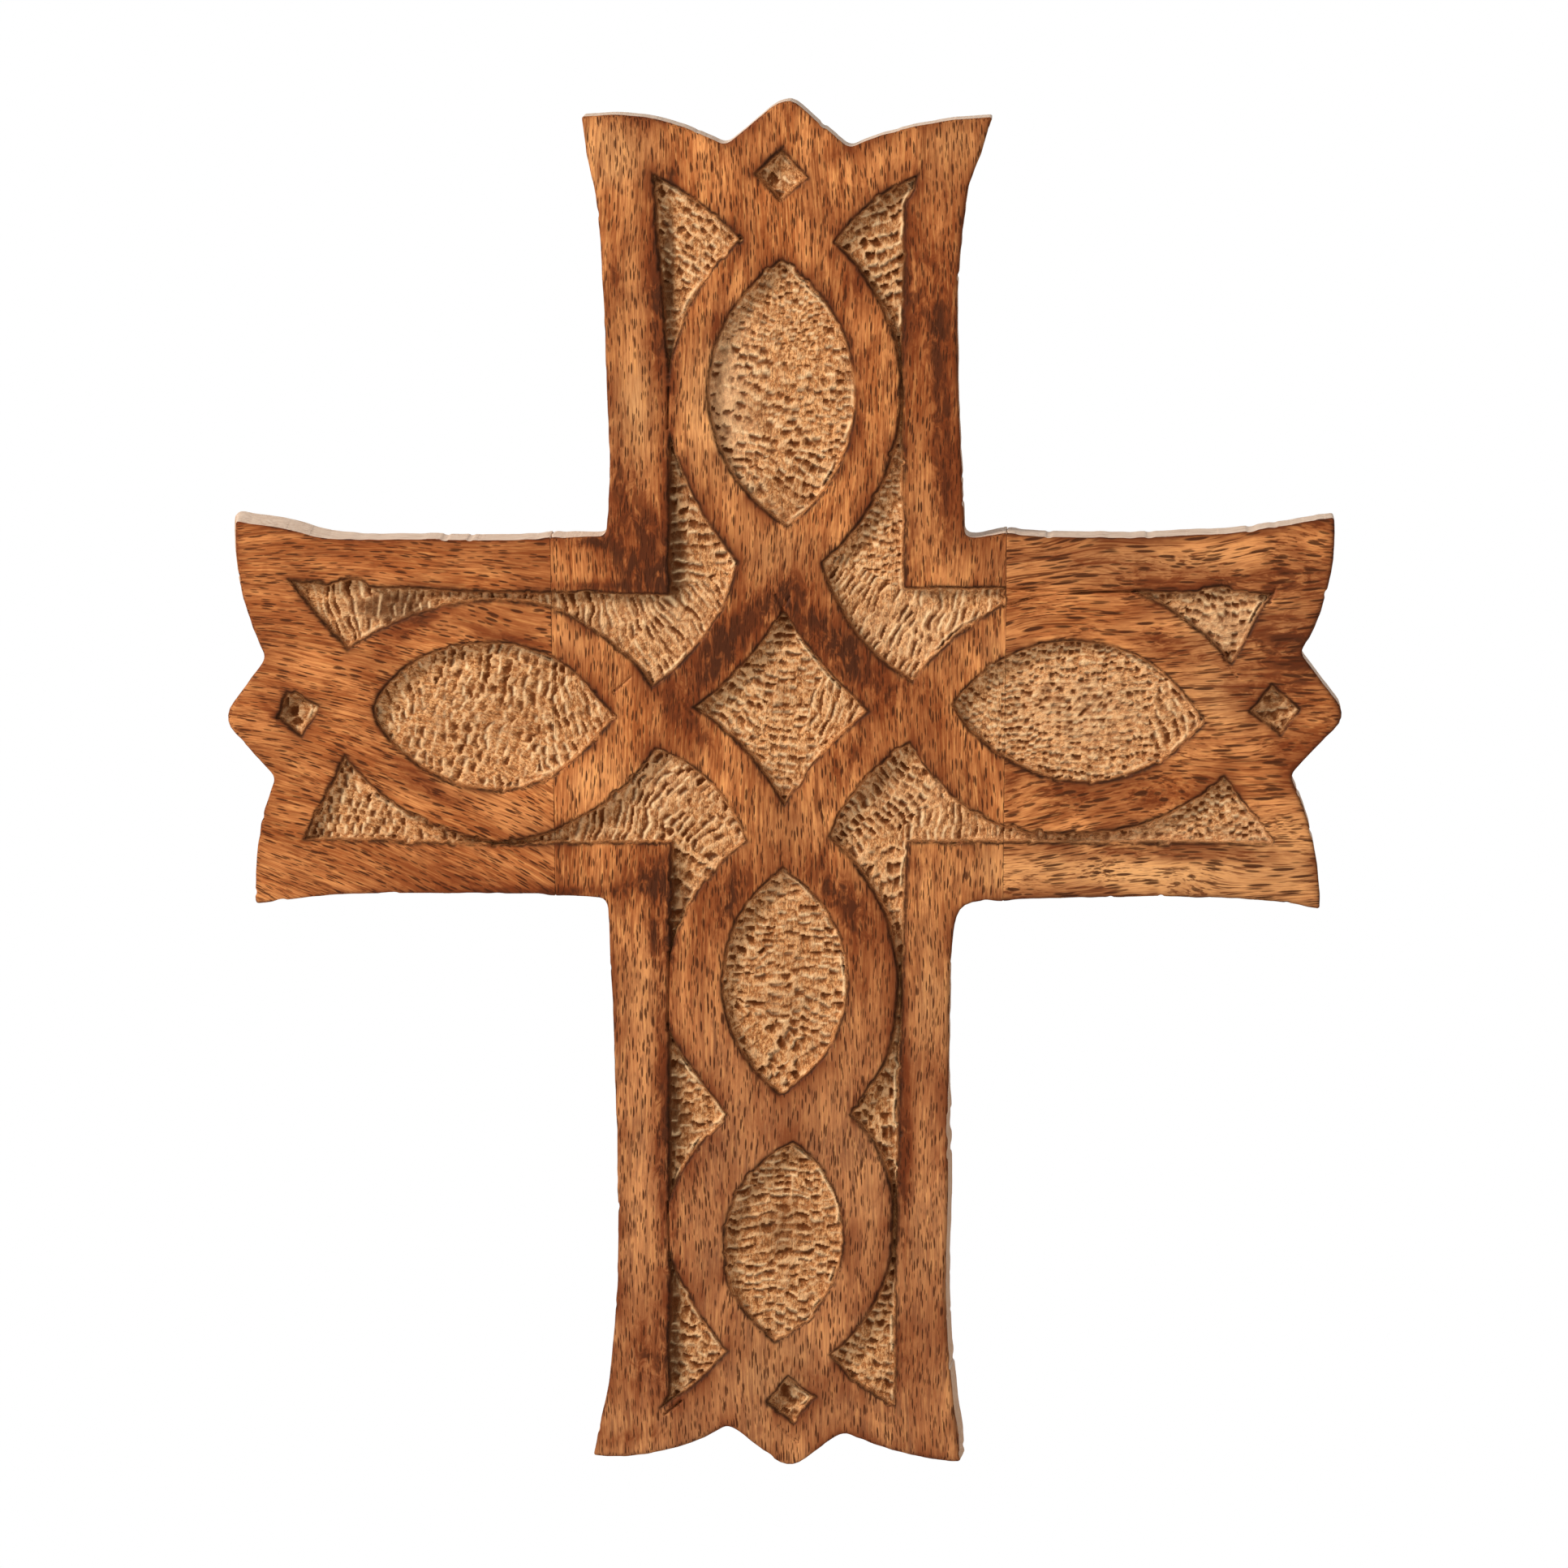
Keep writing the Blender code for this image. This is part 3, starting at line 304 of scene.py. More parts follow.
def gridDistance(edges, xs, zs, reach):
    # distance from each grid point to the nearest edge, up to reach
    field = np.full((len(zs), len(xs)), float(reach))
    step = xs[1] - xs[0]
    for x0, z0, x1, z1 in edges[:, :4]:
        i0 = max(int((min(x0, x1) - reach - xs[0]) / step), 0)
        i1 = min(int((max(x0, x1) + reach - xs[0]) / step) + 2, len(xs))
        j0 = max(int((min(z0, z1) - reach - zs[0]) / step), 0)
        j1 = min(int((max(z0, z1) + reach - zs[0]) / step) + 2, len(zs))
        if i0 >= i1 or j0 >= j1:
            continue
        gx = xs[i0:i1][None, :]
        gz = zs[j0:j1][:, None]
        dx, dz = x1 - x0, z1 - z0
        t = np.clip(((gx - x0) * dx + (gz - z0) * dz) / max(dx * dx + dz * dz, 1e-12), 0, 1)
        near = np.hypot(gx - x0 - t * dx, gz - z0 - t * dz)
        field[j0:j1, i0:i1] = np.minimum(field[j0:j1, i0:i1], near)
    return field


# Outlines read from the CAD boards
boardBox = {name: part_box(name) for name in boardNames}
frontLevel = boardBox["centre_board"][0].y / mm
frontEdges = {name: planeEdges(name, frontLevel, -1) for name in boardNames}
levels = sorted({round(v.co.y / mm, 2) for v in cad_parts["left_arm"].data.vertices})
floorLevel = levels[1]
carveDepth = floorLevel - frontLevel
floorEdges = {name: planeEdges(name, floorLevel, -1) for name in boardNames}


def handCut(x, z):
    # how much higher the arms' upper halves were cut than the solids have them, mm
    arm = blendStep(40, 50, np.abs(x)) * blendStep(62, 52, z)
    upperRim = carving["armRimRise"] * blendStep(34, 38, z) * blendStep(106, 88, np.abs(x))
    return arm * (carving["armRise"] * np.clip(z, 0, 34) + upperRim)


for edges in (*frontEdges.values(), *floorEdges.values()):
    edges[:, 1] += handCut(edges[:, 0], edges[:, 1])
    edges[:, 3] += handCut(edges[:, 2], edges[:, 3])


def outsidePoints(edges, distance):
    middleX = (edges[:, 0] + edges[:, 2]) / 2 + edges[:, 4] * distance
    middleZ = (edges[:, 1] + edges[:, 3]) / 2 + edges[:, 5] * distance
    return middleX, middleZ


def insideAny(sets, names, x, z):
    result = np.zeros(len(x), bool)
    for name in names:
        result |= pointsInside(sets[name], x, z)
    return result


ownEdges = {}
jointEdges = {}
rimEdges = []
pocketEdges = []
jointReach = 0.7
for name in boardNames:
    others = [other for other in boardNames if other != name]
    front, floor = frontEdges[name], floorEdges[name]
    frontX, frontZ = outsidePoints(front, 0.04)
    floorX, floorZ = outsidePoints(floor, 0.04)
    frontRim = ~pointsInside(floor, frontX, frontZ)
    floorRim = ~pointsInside(front, floorX, floorZ)
    own = np.concatenate([front[frontRim], floor[floorRim]])
    ownEdges[name] = own
    farX, farZ = outsidePoints(own, jointReach)
    joined = insideAny(frontEdges, others, farX, farZ) | insideAny(floorEdges, others, farX, farZ)
    rimEdges.append(own[~joined])
    jointEdges[name] = own[joined]
    pocketEdges.append(floor[~floorRim])
    atJoint = floor[floorRim]
    farX, farZ = outsidePoints(atJoint, jointReach)
    pocketEdges.append(atJoint[insideAny(frontEdges, others, farX, farZ)])
rimEdges = np.concatenate(rimEdges)
pocketEdges = np.concatenate(pocketEdges)
print("outlines read:", len(rimEdges), "rim edges,", len(pocketEdges), "pocket edges")
print("carved", round(carveDepth, 2), "mm deep")

# Fields over the whole front
cell = carving["cell"]
margin = 2.0
lowX, highX = cadBox[0].x / mm - margin, cadBox[1].x / mm + margin
lowZ, highZ = cadBox[0].z / mm - margin, cadBox[1].z / mm + margin
blockSize = 4
columns = int(math.ceil((highX - lowX) / cell / blockSize)) * blockSize + 1
rows = int(math.ceil((highZ - lowZ) / cell / blockSize)) * blockSize + 1
gridX = lowX + cell * np.arange(columns)
gridZ = lowZ + cell * np.arange(rows)
fieldX, fieldZ = np.meshgrid(gridX, gridZ)

ownMask = {name: gridInside(ownEdges[name], gridX, gridZ) for name in boardNames}
solidMask = ownMask["centre_board"] | ownMask["left_arm"] | ownMask["right_arm"]
pocketMask = gridInside(np.concatenate([floorEdges[name] for name in boardNames]), gridX, gridZ)
for shift in (1, -1, 2, -2):  # closes the thin gap at the glue joints
    solidMask |= np.roll(solidMask, shift, 1) & np.roll(solidMask, -shift, 1)
    gap = solidMask & ~(ownMask["centre_board"] | ownMask["left_arm"] | ownMask["right_arm"])
    pocketMask |= gap & np.roll(pocketMask, shift, 1) & np.roll(pocketMask, -shift, 1)
rimDistance = gridDistance(rimEdges, gridX, gridZ, 12.0) * np.where(solidMask, 1, -1)
pocketDistance = gridDistance(pocketEdges, gridX, gridZ, 9.0) * np.where(pocketMask, 1, -1)
print("distance fields ready:", rows, "x", columns)


def fieldNoise(size, seed, window=slice(None)):
    return softNoise(fieldX[window], fieldZ[window], size, seed)


def windowRound(x, z, reachX, reachZ):
    # the part of the grid near a point, as slices, with its x and z fields
    i0, i1 = np.searchsorted(gridX, [x - reachX, x + reachX])
    j0, j1 = np.searchsorted(gridZ, [z - reachZ, z + reachZ])
    window = (slice(j0, j1), slice(i0, i1))
    return window, fieldX[window], fieldZ[window]


def gougeMarks():
    # depth of the gouge cuts, and how dark each cut is (painted shade at its deep end, partly stain), over
    # the whole grid
    nearest = np.full(fieldX.shape, 1e9)
    depth = np.zeros(fieldX.shape)
    stain = np.zeros(fieldX.shape)
    crest = np.zeros(fieldX.shape)
    bendX = 1.1 * fieldNoise(9.0, 31) + 0.35 * fieldNoise(3.0, 32)
    bendZ = 1.1 * fieldNoise(9.0, 33) + 0.35 * fieldNoise(3.0, 34)
    for index, (x, z, halfX, halfZ, turn, width, step, deep, dark) in enumerate(gougeZones):
        window, wx, wz = windowRound(x, z, 2.6 * halfX, 2.6 * halfZ)
        px = wx + bendX[window]
        pz = wz + bendZ[window]
        away = np.hypot((wx - x) / halfX, (wz - z) / halfZ)
        away = away + 0.12 * fieldNoise(4.0, 35, window)
        closer = away < nearest[window]
        c, s = math.cos(math.radians(turn)), math.sin(math.radians(turn))
        along = (px * c + pz * s) / step
        across = (-px * s + pz * c) / width
        across = across + 0.35 * fieldNoise(4.5, 42, window)
        lane = np.floor(across).astype(int)
        along = along + randomOf(lane, 7, index) * 0.7 + 0.08 * fieldNoise(1.3, 36, window)
        along = along + 0.07 * fieldNoise(0.7, 37, window)
        along = along + 0.28 * fieldNoise(3.5, 43, window)
        cut = np.floor(along).astype(int)
        t = along - cut
        side = 2 * (across - lane) - 1
        strength = 0.1 + 1.4 * randomOf(lane, cut, index + 50)
        scoop = (0.05 + 0.95 * t ** 1.5) * (1 - 0.6 * side * side)
        ragged = 0.7 + 0.6 * fieldNoise(0.6, 38, window)
        grouped = blendStep(-0.3, 0.35, fieldNoise(5.0, 39 + index, window))
        mark = blendStep(0.3, 0.72, t) * (1 - side ** 6) * blendStep(0.35, 0.95, strength) * ragged * grouped
        # torn edge where each cut ends
        edge = np.minimum(t, 1 - t) * step / carving["crestHalf"]
        tears = randomOf(lane, np.round(along).astype(int), index + 90)
        torn = np.exp(-edge ** 2) * (1 - side ** 4) * blendStep(0.35, 0.75, tears)
        brown = 0.3 * dark * np.exp(-away ** 2) * (1 + fieldNoise(3.0, 44, window))
        depth[window] = np.where(closer, carving["gougeScale"] * deep * strength * scoop, depth[window])
        # painted shade at the deep end of each cut, before its torn end, partly stain; brown is the zone's
        # own tint
        markStainAndShade = np.clip(carving["cutShadeAndStainScale"] * dark * mark + brown, 0, 1)
        stain[window] = np.where(closer, markStainAndShade, stain[window])
        crest[window] = np.where(closer, torn * (0.6 + 0.6 * grouped), crest[window])
        nearest[window] = np.where(closer, away, nearest[window])
    return depth, stain, crest


def blurred(field, reach):
    # mean over a square of grid points, twice
    for turn in range(2):
        for axis in (0, 1):
            border = [(reach + 1, reach) if a == axis else (0, 0) for a in (0, 1)]
            total = np.cumsum(np.pad(field, border, "edge"), axis=axis)
            size = 2 * reach + 1
            if axis == 0:
                field = (total[size:] - total[:-size]) / size
            else:
                field = (total[:, size:] - total[:, :-size]) / size
    return field


def frontShape():
    # height of the front surface over the grid in mm, and the values that colour it
    wobble = carving["handWobble"]
    line = pocketDistance + wobble * fieldNoise(5.0, 3) + 0.6 * wobble * fieldNoise(1.5, 4)
    chipped = blendStep(0.25, 0.8, fieldNoise(1.9, 5)) * blendStep(-0.1, 0.4, fieldNoise(12.0, 6))
    line = line + 0.7 * chipped * blendStep(-1.6, 0.0, pocketDistance)
    # straight knife strokes: the line bends only every few mm
    stroke = np.abs((fieldNoise(6.5, 18) * 2.5) % 1.0 - 0.5)
    line = line + 0.32 * (stroke - 0.25)
    run = carving["wallRun"] * (1 + 0.3 * fieldNoise(11.0, 7))
    w = np.clip(line / run, 0, 1)
    smooth = w * w * (3 - 2 * w)
    plain = 0.45 * w + 0.55 * smooth
    split = carving["ledgeHeight"]
    ledged = split * blendStep(0.0, 0.42, w) + (1 - split) * blendStep(0.66, 1.0, w)
    facing = np.clip(-np.gradient(blurred(pocketDistance, 2), cell, axis=1) * 1.3, 0, 1)
    gate = blendStep(-0.25, 0.15, fieldNoise(8.0, 8))
    useLedge = gate * facing
    wall = plain * (1 - useLedge) + ledged * useLedge
    sliverAt = 1.15 + 0.45 * fieldNoise(6.0, 16)
    some = blendStep(-0.4, 0.1, fieldNoise(4.0, 17))
    sliver = useLedge * np.exp(-((line - sliverAt) / 0.26) ** 2) * some
    besides = useLedge * some * np.exp(-((line - sliverAt + 0.5) / 0.24) ** 2)
    floor = carveDepth - 0.25 + carving["floorSwell"] * layeredNoise(fieldX, fieldZ, 12.0, 9, 2)
    cuts, stain, crest = gougeMarks()
    onFloor = blendStep(0.55, 1.0, w)
    fibres = 0.11 * fieldNoise(0.9, 10) + 0.08 * fieldNoise(0.55, 11)
    fibres = fibres + 0.12 * fieldNoise(2.1, 15)
    roughWall = 0.16 * fieldNoise(1.1, 12) * blendStep(0.05, 0.5, w) * (1 - onFloor)
    drop = wall * (floor - 0.35) + onFloor * (cuts + fibres) + roughWall - 0.85 * sliver
    crest = np.clip(crest * onFloor, 0, 1)
    drop = drop - carving["crestHeight"] * crest
    carved = cuts + fibres
    # the planed face, its worn outline and the small arris at each pocket
    face = carving["faceSwell"] * (1 + layeredNoise(fieldX, fieldZ, 22.0, 13, 2)) * 0.5
    wear = carving["rimRound"] * (1 + 0.45 * fieldNoise(16.0, 14))
    inset = np.clip(rimDistance, 0, None)
    rim = np.where(inset < wear, wear - np.sqrt(np.clip(wear ** 2 - (wear - inset) ** 2, 0, None)), 0)
    arris = 0.1 * np.exp(-np.clip(-line, 0, 9) / 0.3)
    armTop = blendStep(33, 37, fieldZ) * blendStep(60, 50, fieldZ) * blendStep(46, 52, np.abs(fieldX))
    edgeBurn = 0.85 * np.exp(-inset / 0.6) * armTop
    lineHalf = 0.42 + 0.16 * fieldNoise(7.0, 18)
    drop = drop + (face + arris) * (1 - w) + rim
    groove = np.zeros(fieldX.shape)
    for points, deep in knifeGrooves:
        ends = np.array([(a[0], a[1], b[0], b[1]) for a, b in zip(points, points[1:])])
        half = carving["grooveHalf"]
        away = gridDistance(ends, gridX, gridZ, half * 3)
        cut = np.clip(1 - away / half, 0, 1) * (1 - w)
        drop = drop + deep * cut
        groove = np.maximum(groove, cut * min(1, deep))
    values = {
        "groove": groove,
        "floor": blendStep(0.15, 0.8, w),
        # painted shade at the deep end of each gouge cut, partly stain
        "stain": stain * onFloor,
        # painted shade where the floor lies deeper than round about, painted highlight on its ridges
        "hollow": np.clip(0.5 + onFloor * (carved - blurred(carved, 4)) / 0.7, 0, 1),
        # the dark line along each pocket's edge and down its wall: soot and painted shade
        "line": np.maximum(np.exp(-((line - 0.1) / lineHalf) ** 2), 0.9 * besides),
        # painted highlight on the wall slivers and the torn crests where cuts end
        "raised": np.maximum(sliver, crest),
        "near": np.exp(-np.clip(-line, 0, 9) / 2.2),
        "rim": np.exp(-inset / 1.6),
        # torch burns, and painted shadow along some pocket walls
        "burn": np.clip(1.3 * markField(burnAndShadowMarks) + edgeBurn, 0, 1),
        "pale": markField(paleMarks),
    }
    return frontLevel + drop, values


def markField(marks):
    # how strongly a list of marks shows at each grid point
    total = np.zeros(fieldX.shape)
    for x, z, halfX, halfZ, turn, strength in marks:
        reach = 2.4 * max(halfX, halfZ)
        window, wx, wz = windowRound(x, z, reach, reach)
        dx, dz = wx - x, wz - z
        c, s = math.cos(math.radians(turn)), math.sin(math.radians(turn))
        away = np.hypot((dx * c + dz * s) / halfX, (-dx * s + dz * c) / halfZ)
        away = away * (1 + 0.2 * fieldNoise(8.0, 41, window))
        mark = strength * np.exp(-away ** 1.6)
        total[window] = total[window] + mark - total[window] * mark
    return total


heightField, shadeFields = frontShape()
print("front carved")

# Board meshes
backLevel = boardBox["centre_board"][1].y / mm


def fieldAt(field, x, z):
    # value of a grid field at any points, between the grid points
    u = np.clip((np.asarray(x, float) - gridX[0]) / cell, 0, columns - 1.001)
    v = np.clip((np.asarray(z, float) - gridZ[0]) / cell, 0, rows - 1.001)
    i, j = u.astype(int), v.astype(int)
    f, g = u - i, v - j
    low = field[j, i] * (1 - f) + field[j, i + 1] * f
    high = field[j + 1, i] * (1 - f) + field[j + 1, i + 1] * f
    return low * (1 - g) + high * g


jointDistance = {}


def ownField(name):
    # signed distance to this board's own outline, wobbled a little where it isn't a glue joint
    away = gridDistance(ownEdges[name], gridX, gridZ, 6.0) * np.where(ownMask[name], 1, -1)
    jointDistance[name] = gridDistance(jointEdges[name], gridX, gridZ, 4.0)
    free = blendStep(0.6, 3.0, jointDistance[name])
    ripple = 0.16 * fieldNoise(7.0, 61) + 0.09 * fieldNoise(2.2, 62)
    chips = 0.3 * blendStep(0.5, 0.95, fieldNoise(2.8, 63))
    return away - free * (0.16 + ripple + chips) + (1 - free) * carving["jointFill"]


def widened(mask, n):
    # each value repeated over n x n cells
    return np.repeat(np.repeat(mask, n, 0), n, 1)


def anyIn(mask, size):
    # whether any grid point of each size x size cell, borders included, is set
    tall, wide = (rows - 1) // size, (columns - 1) // size
    result = np.zeros((tall, wide), bool)
    for dj in range(size + 1):
        for di in range(size + 1):
            result |= mask[dj:dj + tall * size:size, di:di + wide * size:size][:tall, :wide]
    return result


def cellSizes(own):
    # how many grid steps wide the mesh cell at each place is: 4, 2, 1, or 0 outside the board
    fine = ((pocketDistance > -0.6) & (pocketDistance < 9.0)) | (np.abs(rimDistance) < 1.3) | (own < 0.8)
    fine |= shadeFields["groove"] > 0
    mid = (pocketDistance > -2.0) | (np.abs(rimDistance) < 3.0) | (own < 2.4)
    blocksZ, blocksX = (rows - 1) // 4, (columns - 1) // 4
    touched = anyIn(own > -0.001, 4)
    need1 = anyIn(fine, 2)
    need2 = anyIn(mid, 4)
    need2 |= need1.reshape(blocksZ, 2, blocksX, 2).any(axis=(1, 3))
    size = np.full((rows - 1, columns - 1), 4, np.int8)
    size[widened(need2, 4)] = 2
    size[widened(need1, 2)] = 1
    size[~widened(touched, 4)] = 0
    return size


def frontMesh(own):
    # points, faces and outlines of a board's front, cut along the board's outline
    size = cellSizes(own)
    used = np.zeros((rows, columns), bool)
    for n in (4, 2, 1):
        j, i = np.nonzero(size[::n, ::n] == n)
        for dj, di in ((0, 0), (0, n), (n, n), (n, 0)):
            used[j * n + dj, i * n + di] = True
    keep = own > 0
    number = np.full((rows, columns), -1)
    spots = []
    faces = []
    crossings = {}
    pairs = []

    def corner(j, i):
        if number[j, i] < 0:
            number[j, i] = len(spots)
            spots.append((gridX[i], gridZ[j]))
        return number[j, i]

    def crossing(j0, i0, j1, i1):
        if (j1, i1) < (j0, i0):
            j0, i0, j1, i1 = j1, i1, j0, i0
        key = (j0, i0, j1, i1)
        if key not in crossings:
            a, b = own[j0, i0], own[j1, i1]
            t = min(max(a / (a - b), 0.08), 0.92)
            crossings[key] = len(spots)
            x = gridX[i0] + t * (gridX[i1] - gridX[i0])
            spots.append((x, gridZ[j0] + t * (gridZ[j1] - gridZ[j0])))
        return crossings[key]

    for n in (4, 2, 1):
        cellRows, cellColumns = np.nonzero(size[::n, ::n] == n)
        for j, i in zip(cellRows * n, cellColumns * n):
            four = ((j, i), (j, i + n), (j + n, i + n), (j + n, i))
            state = [keep[a] for a in four]
            if not any(state):
                continue
            if all(state):
                ring = []
                for k in range(4):
                    a, b = four[k], four[(k + 1) % 4]
                    ring.append(corner(*a))
                    dj = int(b[0] > a[0]) - int(b[0] < a[0])
                    di = int(b[1] > a[1]) - int(b[1] < a[1])
                    for m in range(1, n):
                        p = (a[0] + dj * m, a[1] + di * m)
                        if used[p]:
                            ring.append(corner(*p))
                faces.append(ring)
                continue
            ring = []
            cuts = []
            for k in range(4):
                a, b = four[k], four[(k + 1) % 4]
                if state[k]:
                    ring.append(corner(*a))
                if state[k] != state[(k + 1) % 4]:
                    c = crossing(a[0], a[1], b[0], b[1])
                    ring.append(c)
                    cuts.append((c, state[k]))
            if len(cuts) == 2:
                leave = cuts[0][0] if cuts[0][1] else cuts[1][0]
                enter = cuts[1][0] if cuts[0][1] else cuts[0][0]
                pairs.append((leave, enter))
                faces.append(ring)
            elif len(cuts) == 4:
                # two opposite corners: kept as two corner pieces
                for k in range(4):
                    if state[k]:
                        a = four[k]
                        before, after = four[k - 1], four[(k + 1) % 4]
                        first = crossing(before[0], before[1], a[0], a[1])
                        second = crossing(a[0], a[1], after[0], after[1])
                        faces.append([first, corner(*a), second])
                        pairs.append((second, first))
    follow = dict(pairs)
    loops = []
    while follow:
        start, step = next(iter(follow.items()))
        loop = [start]
        del follow[start]
        while step != start and step in follow:
            loop.append(step)
            step = follow.pop(step)
        loops.append(loop)
    loops.sort(key=len, reverse=True)
    return np.array(spots), faces, loops


def leanOut(x, z):
    # how far the back edge stands out beyond the front edge, mm
    lower = carving["shaftLean"] * blendStep(30, 38, x) * blendStep(-78, -90, z)
    leftEnd = carving["endLean"] * blendStep(-86, -110, x) * blendStep(17, 24, z)
    armTop = blendStep(30, 38, z) * blendStep(60, 50, z) * blendStep(43, 48, np.abs(x))
    tops = carving["topLean"] * armTop * blendStep(122, 92, x)
    return lower + np.maximum(leftEnd, tops)


# rows of points down the side: share of the thickness, then how far in, mm
rowsDown = [
    (0.05, 0), (0.14, 0), (0.3, 0), (0.45, 0), (0.6, 0), (0.75, 0), (0.9, 0),
    (0.955, 0.12), (0.985, 0.35), (1.0, 0.75),
]


def boardRings(name, rim, spots, shades):
    # adds the rows of points down the side; gives the rows and the way along the rim, mm
    x, frontY, z = (np.array([spots[v][axis] for v in rim]) for axis in range(3))
    # outward direction along the rim, smoothed
    count = len(rim)
    reach = 3
    tangentX = np.roll(x, -reach) - np.roll(x, reach)
    tangentZ = np.roll(z, -reach) - np.roll(z, reach)
    length = np.maximum(np.hypot(tangentX, tangentZ), 1e-6)
    outX, outZ = tangentZ / length, -tangentX / length
    if pointsInside(ownEdges[name], x[:1] + outX[:1] * 0.8, z[:1] + outZ[:1] * 0.8)[0]:
        outX, outZ = -outX, -outZ
    lean = leanOut(x, z)
    atJoint = fieldAt(jointDistance[name], x, z) < 0.5
    away = np.concatenate([[0], np.cumsum(np.hypot(np.diff(x), np.diff(z)))])
    rings = [list(rim)]
    for t, inset in rowsDown:
        ring = []
        level = frontY + (backLevel - frontY) * t
        saw = 0.05 * softNoise(away, level * 0.7, 0.9, 71) + 0.06 * softNoise(away, level * 0.25, 2.6, 72)
        push = lean * t + saw * (1 - abs(2 * t - 1)) - inset
        push = np.where(lean > 0.05, push, np.minimum(push, 0.4))
        wave = 0.14 * np.sin(2 * math.pi * (level - frontLevel) / (backLevel - frontLevel) * 1.5)
        push = np.where(atJoint, np.sign(outX) * wave - inset, push)
        lift = np.where(atJoint, lean * t, 0.0)
        px, pz = x + outX * push, z + outZ * push + lift
        for k in range(count):
            ring.append(len(spots))
            spots.append((px[k], level[k], pz[k]))
        for key in shades:
            if key == "side":
                shades[key] += [1.0] * count
            else:
                fade = 0.0 if key in ("floor", "stain", "near", "line") else math.exp(-6 * t)
                shades[key] += list(fieldAt(shadeFields[key], x, z) * fade)
        rings.append(ring)
    return rings, away


def closeBack(name, ring, spots, shades, faces, faceUv):
    # fills the flat back, with the hanger's recess where there is one
    back = bmesh.new()
    made = {}
    for v in ring:
        made[v] = back.verts.new((spots[v][0], 0, spots[v][2]))
    recess = backOpening(name)

    def joinLoop(numbers):
        for k, number in enumerate(numbers):
            back.edges.new((made[number], made[numbers[(k + 1) % len(numbers)]]))

    def recessCorners(level):
        first = len(spots)
        spots.extend((rx, level, rz) for rx, rz in recess)
        for key in shades:
            shades[key] += [1.0 if key == "side" else 0.0] * len(recess)
        return list(range(first, len(spots)))

    joinLoop(ring)
    if recess is not None:
        loop = recessCorners(backLevel)
        for number, (rx, rz) in zip(loop, recess):
            made[number] = back.verts.new((rx, 0, rz))
        joinLoop(loop)
        deeper = recessCorners(recessFloor)
    names = {v: k for k, v in made.items()}
    bmesh.ops.triangle_fill(back, edges=back.edges[:], use_beauty=True, use_dissolve=False)
    for face in back.faces:
        corners = [names[v] for v in face.verts]
        a, b, c = (spots[v] for v in corners)
        turn = (b[0] - a[0]) * (c[2] - a[2]) - (b[2] - a[2]) * (c[0] - a[0])
        if turn > 0:
            corners.reverse()
        middle = np.mean([spots[v] for v in corners], axis=0)
        if recess is not None and pointsInside(recessEdges, middle[:1], middle[2:])[0]:
            continue
        faces.append(corners)
        faceUv.append([(spots[v][0] + 270, spots[v][2]) for v in corners])
    back.free()
    if recess is not None:
        for k in range(len(loop)):
            m = (k + 1) % len(loop)
            faces.append([loop[k], loop[m], deeper[m], deeper[k]])
            faceUv.append([(540 + k * 2, 0), (542 + k * 2, 0), (542 + k * 2, 5), (540 + k * 2, 5)])
        faces.append(list(reversed(deeper)))
        faceUv.append([(spots[v][0] + 560, spots[v][2]) for v in reversed(deeper)])


def buildBoard(name, material):
    places, faces, loops = frontMesh(ownField(name))
    rim = loops[0]
    for small in loops[1:]:
        print(name, "has a small loose outline of", len(small), "points")
    x, z = places[:, 0], places[:, 1]
    y = fieldAt(heightField, x, z)
    spots = list(zip(x, y, z))
    shades = {key: list(fieldAt(field, x, z)) for key, field in shadeFields.items()}
    shades["side"] = [0.0] * len(spots)
    faceUv = [[(x[v], z[v]) for v in ring] for ring in faces]
    rings, away = boardRings(name, rim, spots, shades)
    count = len(rim)
    shares = [0] + [t for t, inset in rowsDown]
    for row, (upper, lower) in enumerate(zip(rings, rings[1:])):
        for k in range(count):
            m = (k + 1) % count
            faces.append([upper[k], upper[m], lower[m], lower[k]])
            endAway = away[m] if m else away[-1] + 0.3
            faceUv.append(stripPlace(away[k], endAway, shares[row:row + 2], backLevel - frontLevel))
    closeBack(name, rings[-1], spots, shades, faces, faceUv)
    mesh = bpy.data.meshes.new(name + "Carved")
    mesh.from_pydata([tuple(c * mm for c in s) for s in spots], [], faces)
    layer = mesh.uv_layers.new(name="OFBake")
    flat = np.array([c for ring in faceUv for place in ring for c in place], float).reshape(-1, 2)
    flat -= flat.min(axis=0) - 1.0
    flat /= flat.max() + 1.0
    layer.data.foreach_set("uv", flat.ravel())
    for key, numbers in shades.items():
        attribute = mesh.attributes.new(key, "FLOAT", "POINT")
        attribute.data.foreach_set("value", np.array(numbers, np.float32))
    mesh.polygons.foreach_set("use_smooth", np.ones(len(mesh.polygons), bool))
    mesh.materials.append(material)
    fixFacing(mesh)
    return addObject(name + "Carved", mesh)


def addObject(name, data):
    piece = bpy.data.objects.new(name, data)
    bpy.context.scene.collection.objects.link(piece)
    return piece


def stripPlace(start, end, tops, depth):
    # the side wall unrolled into rows of strips below the front in the UV map
    rowLength = 270.0
    row = int(start // rowLength)
    x0 = start - row * rowLength
    x1 = end - row * rowLength
    z0 = gridZ[0] - 8 - row * (depth + 2)
    z1, z2 = z0 - depth * tops[0], z0 - depth * tops[1]
    x0, x1 = x0 + gridX[0], x1 + gridX[0]
    return [(x0, z1), (x1, z1), (x1, z2), (x0, z2)]


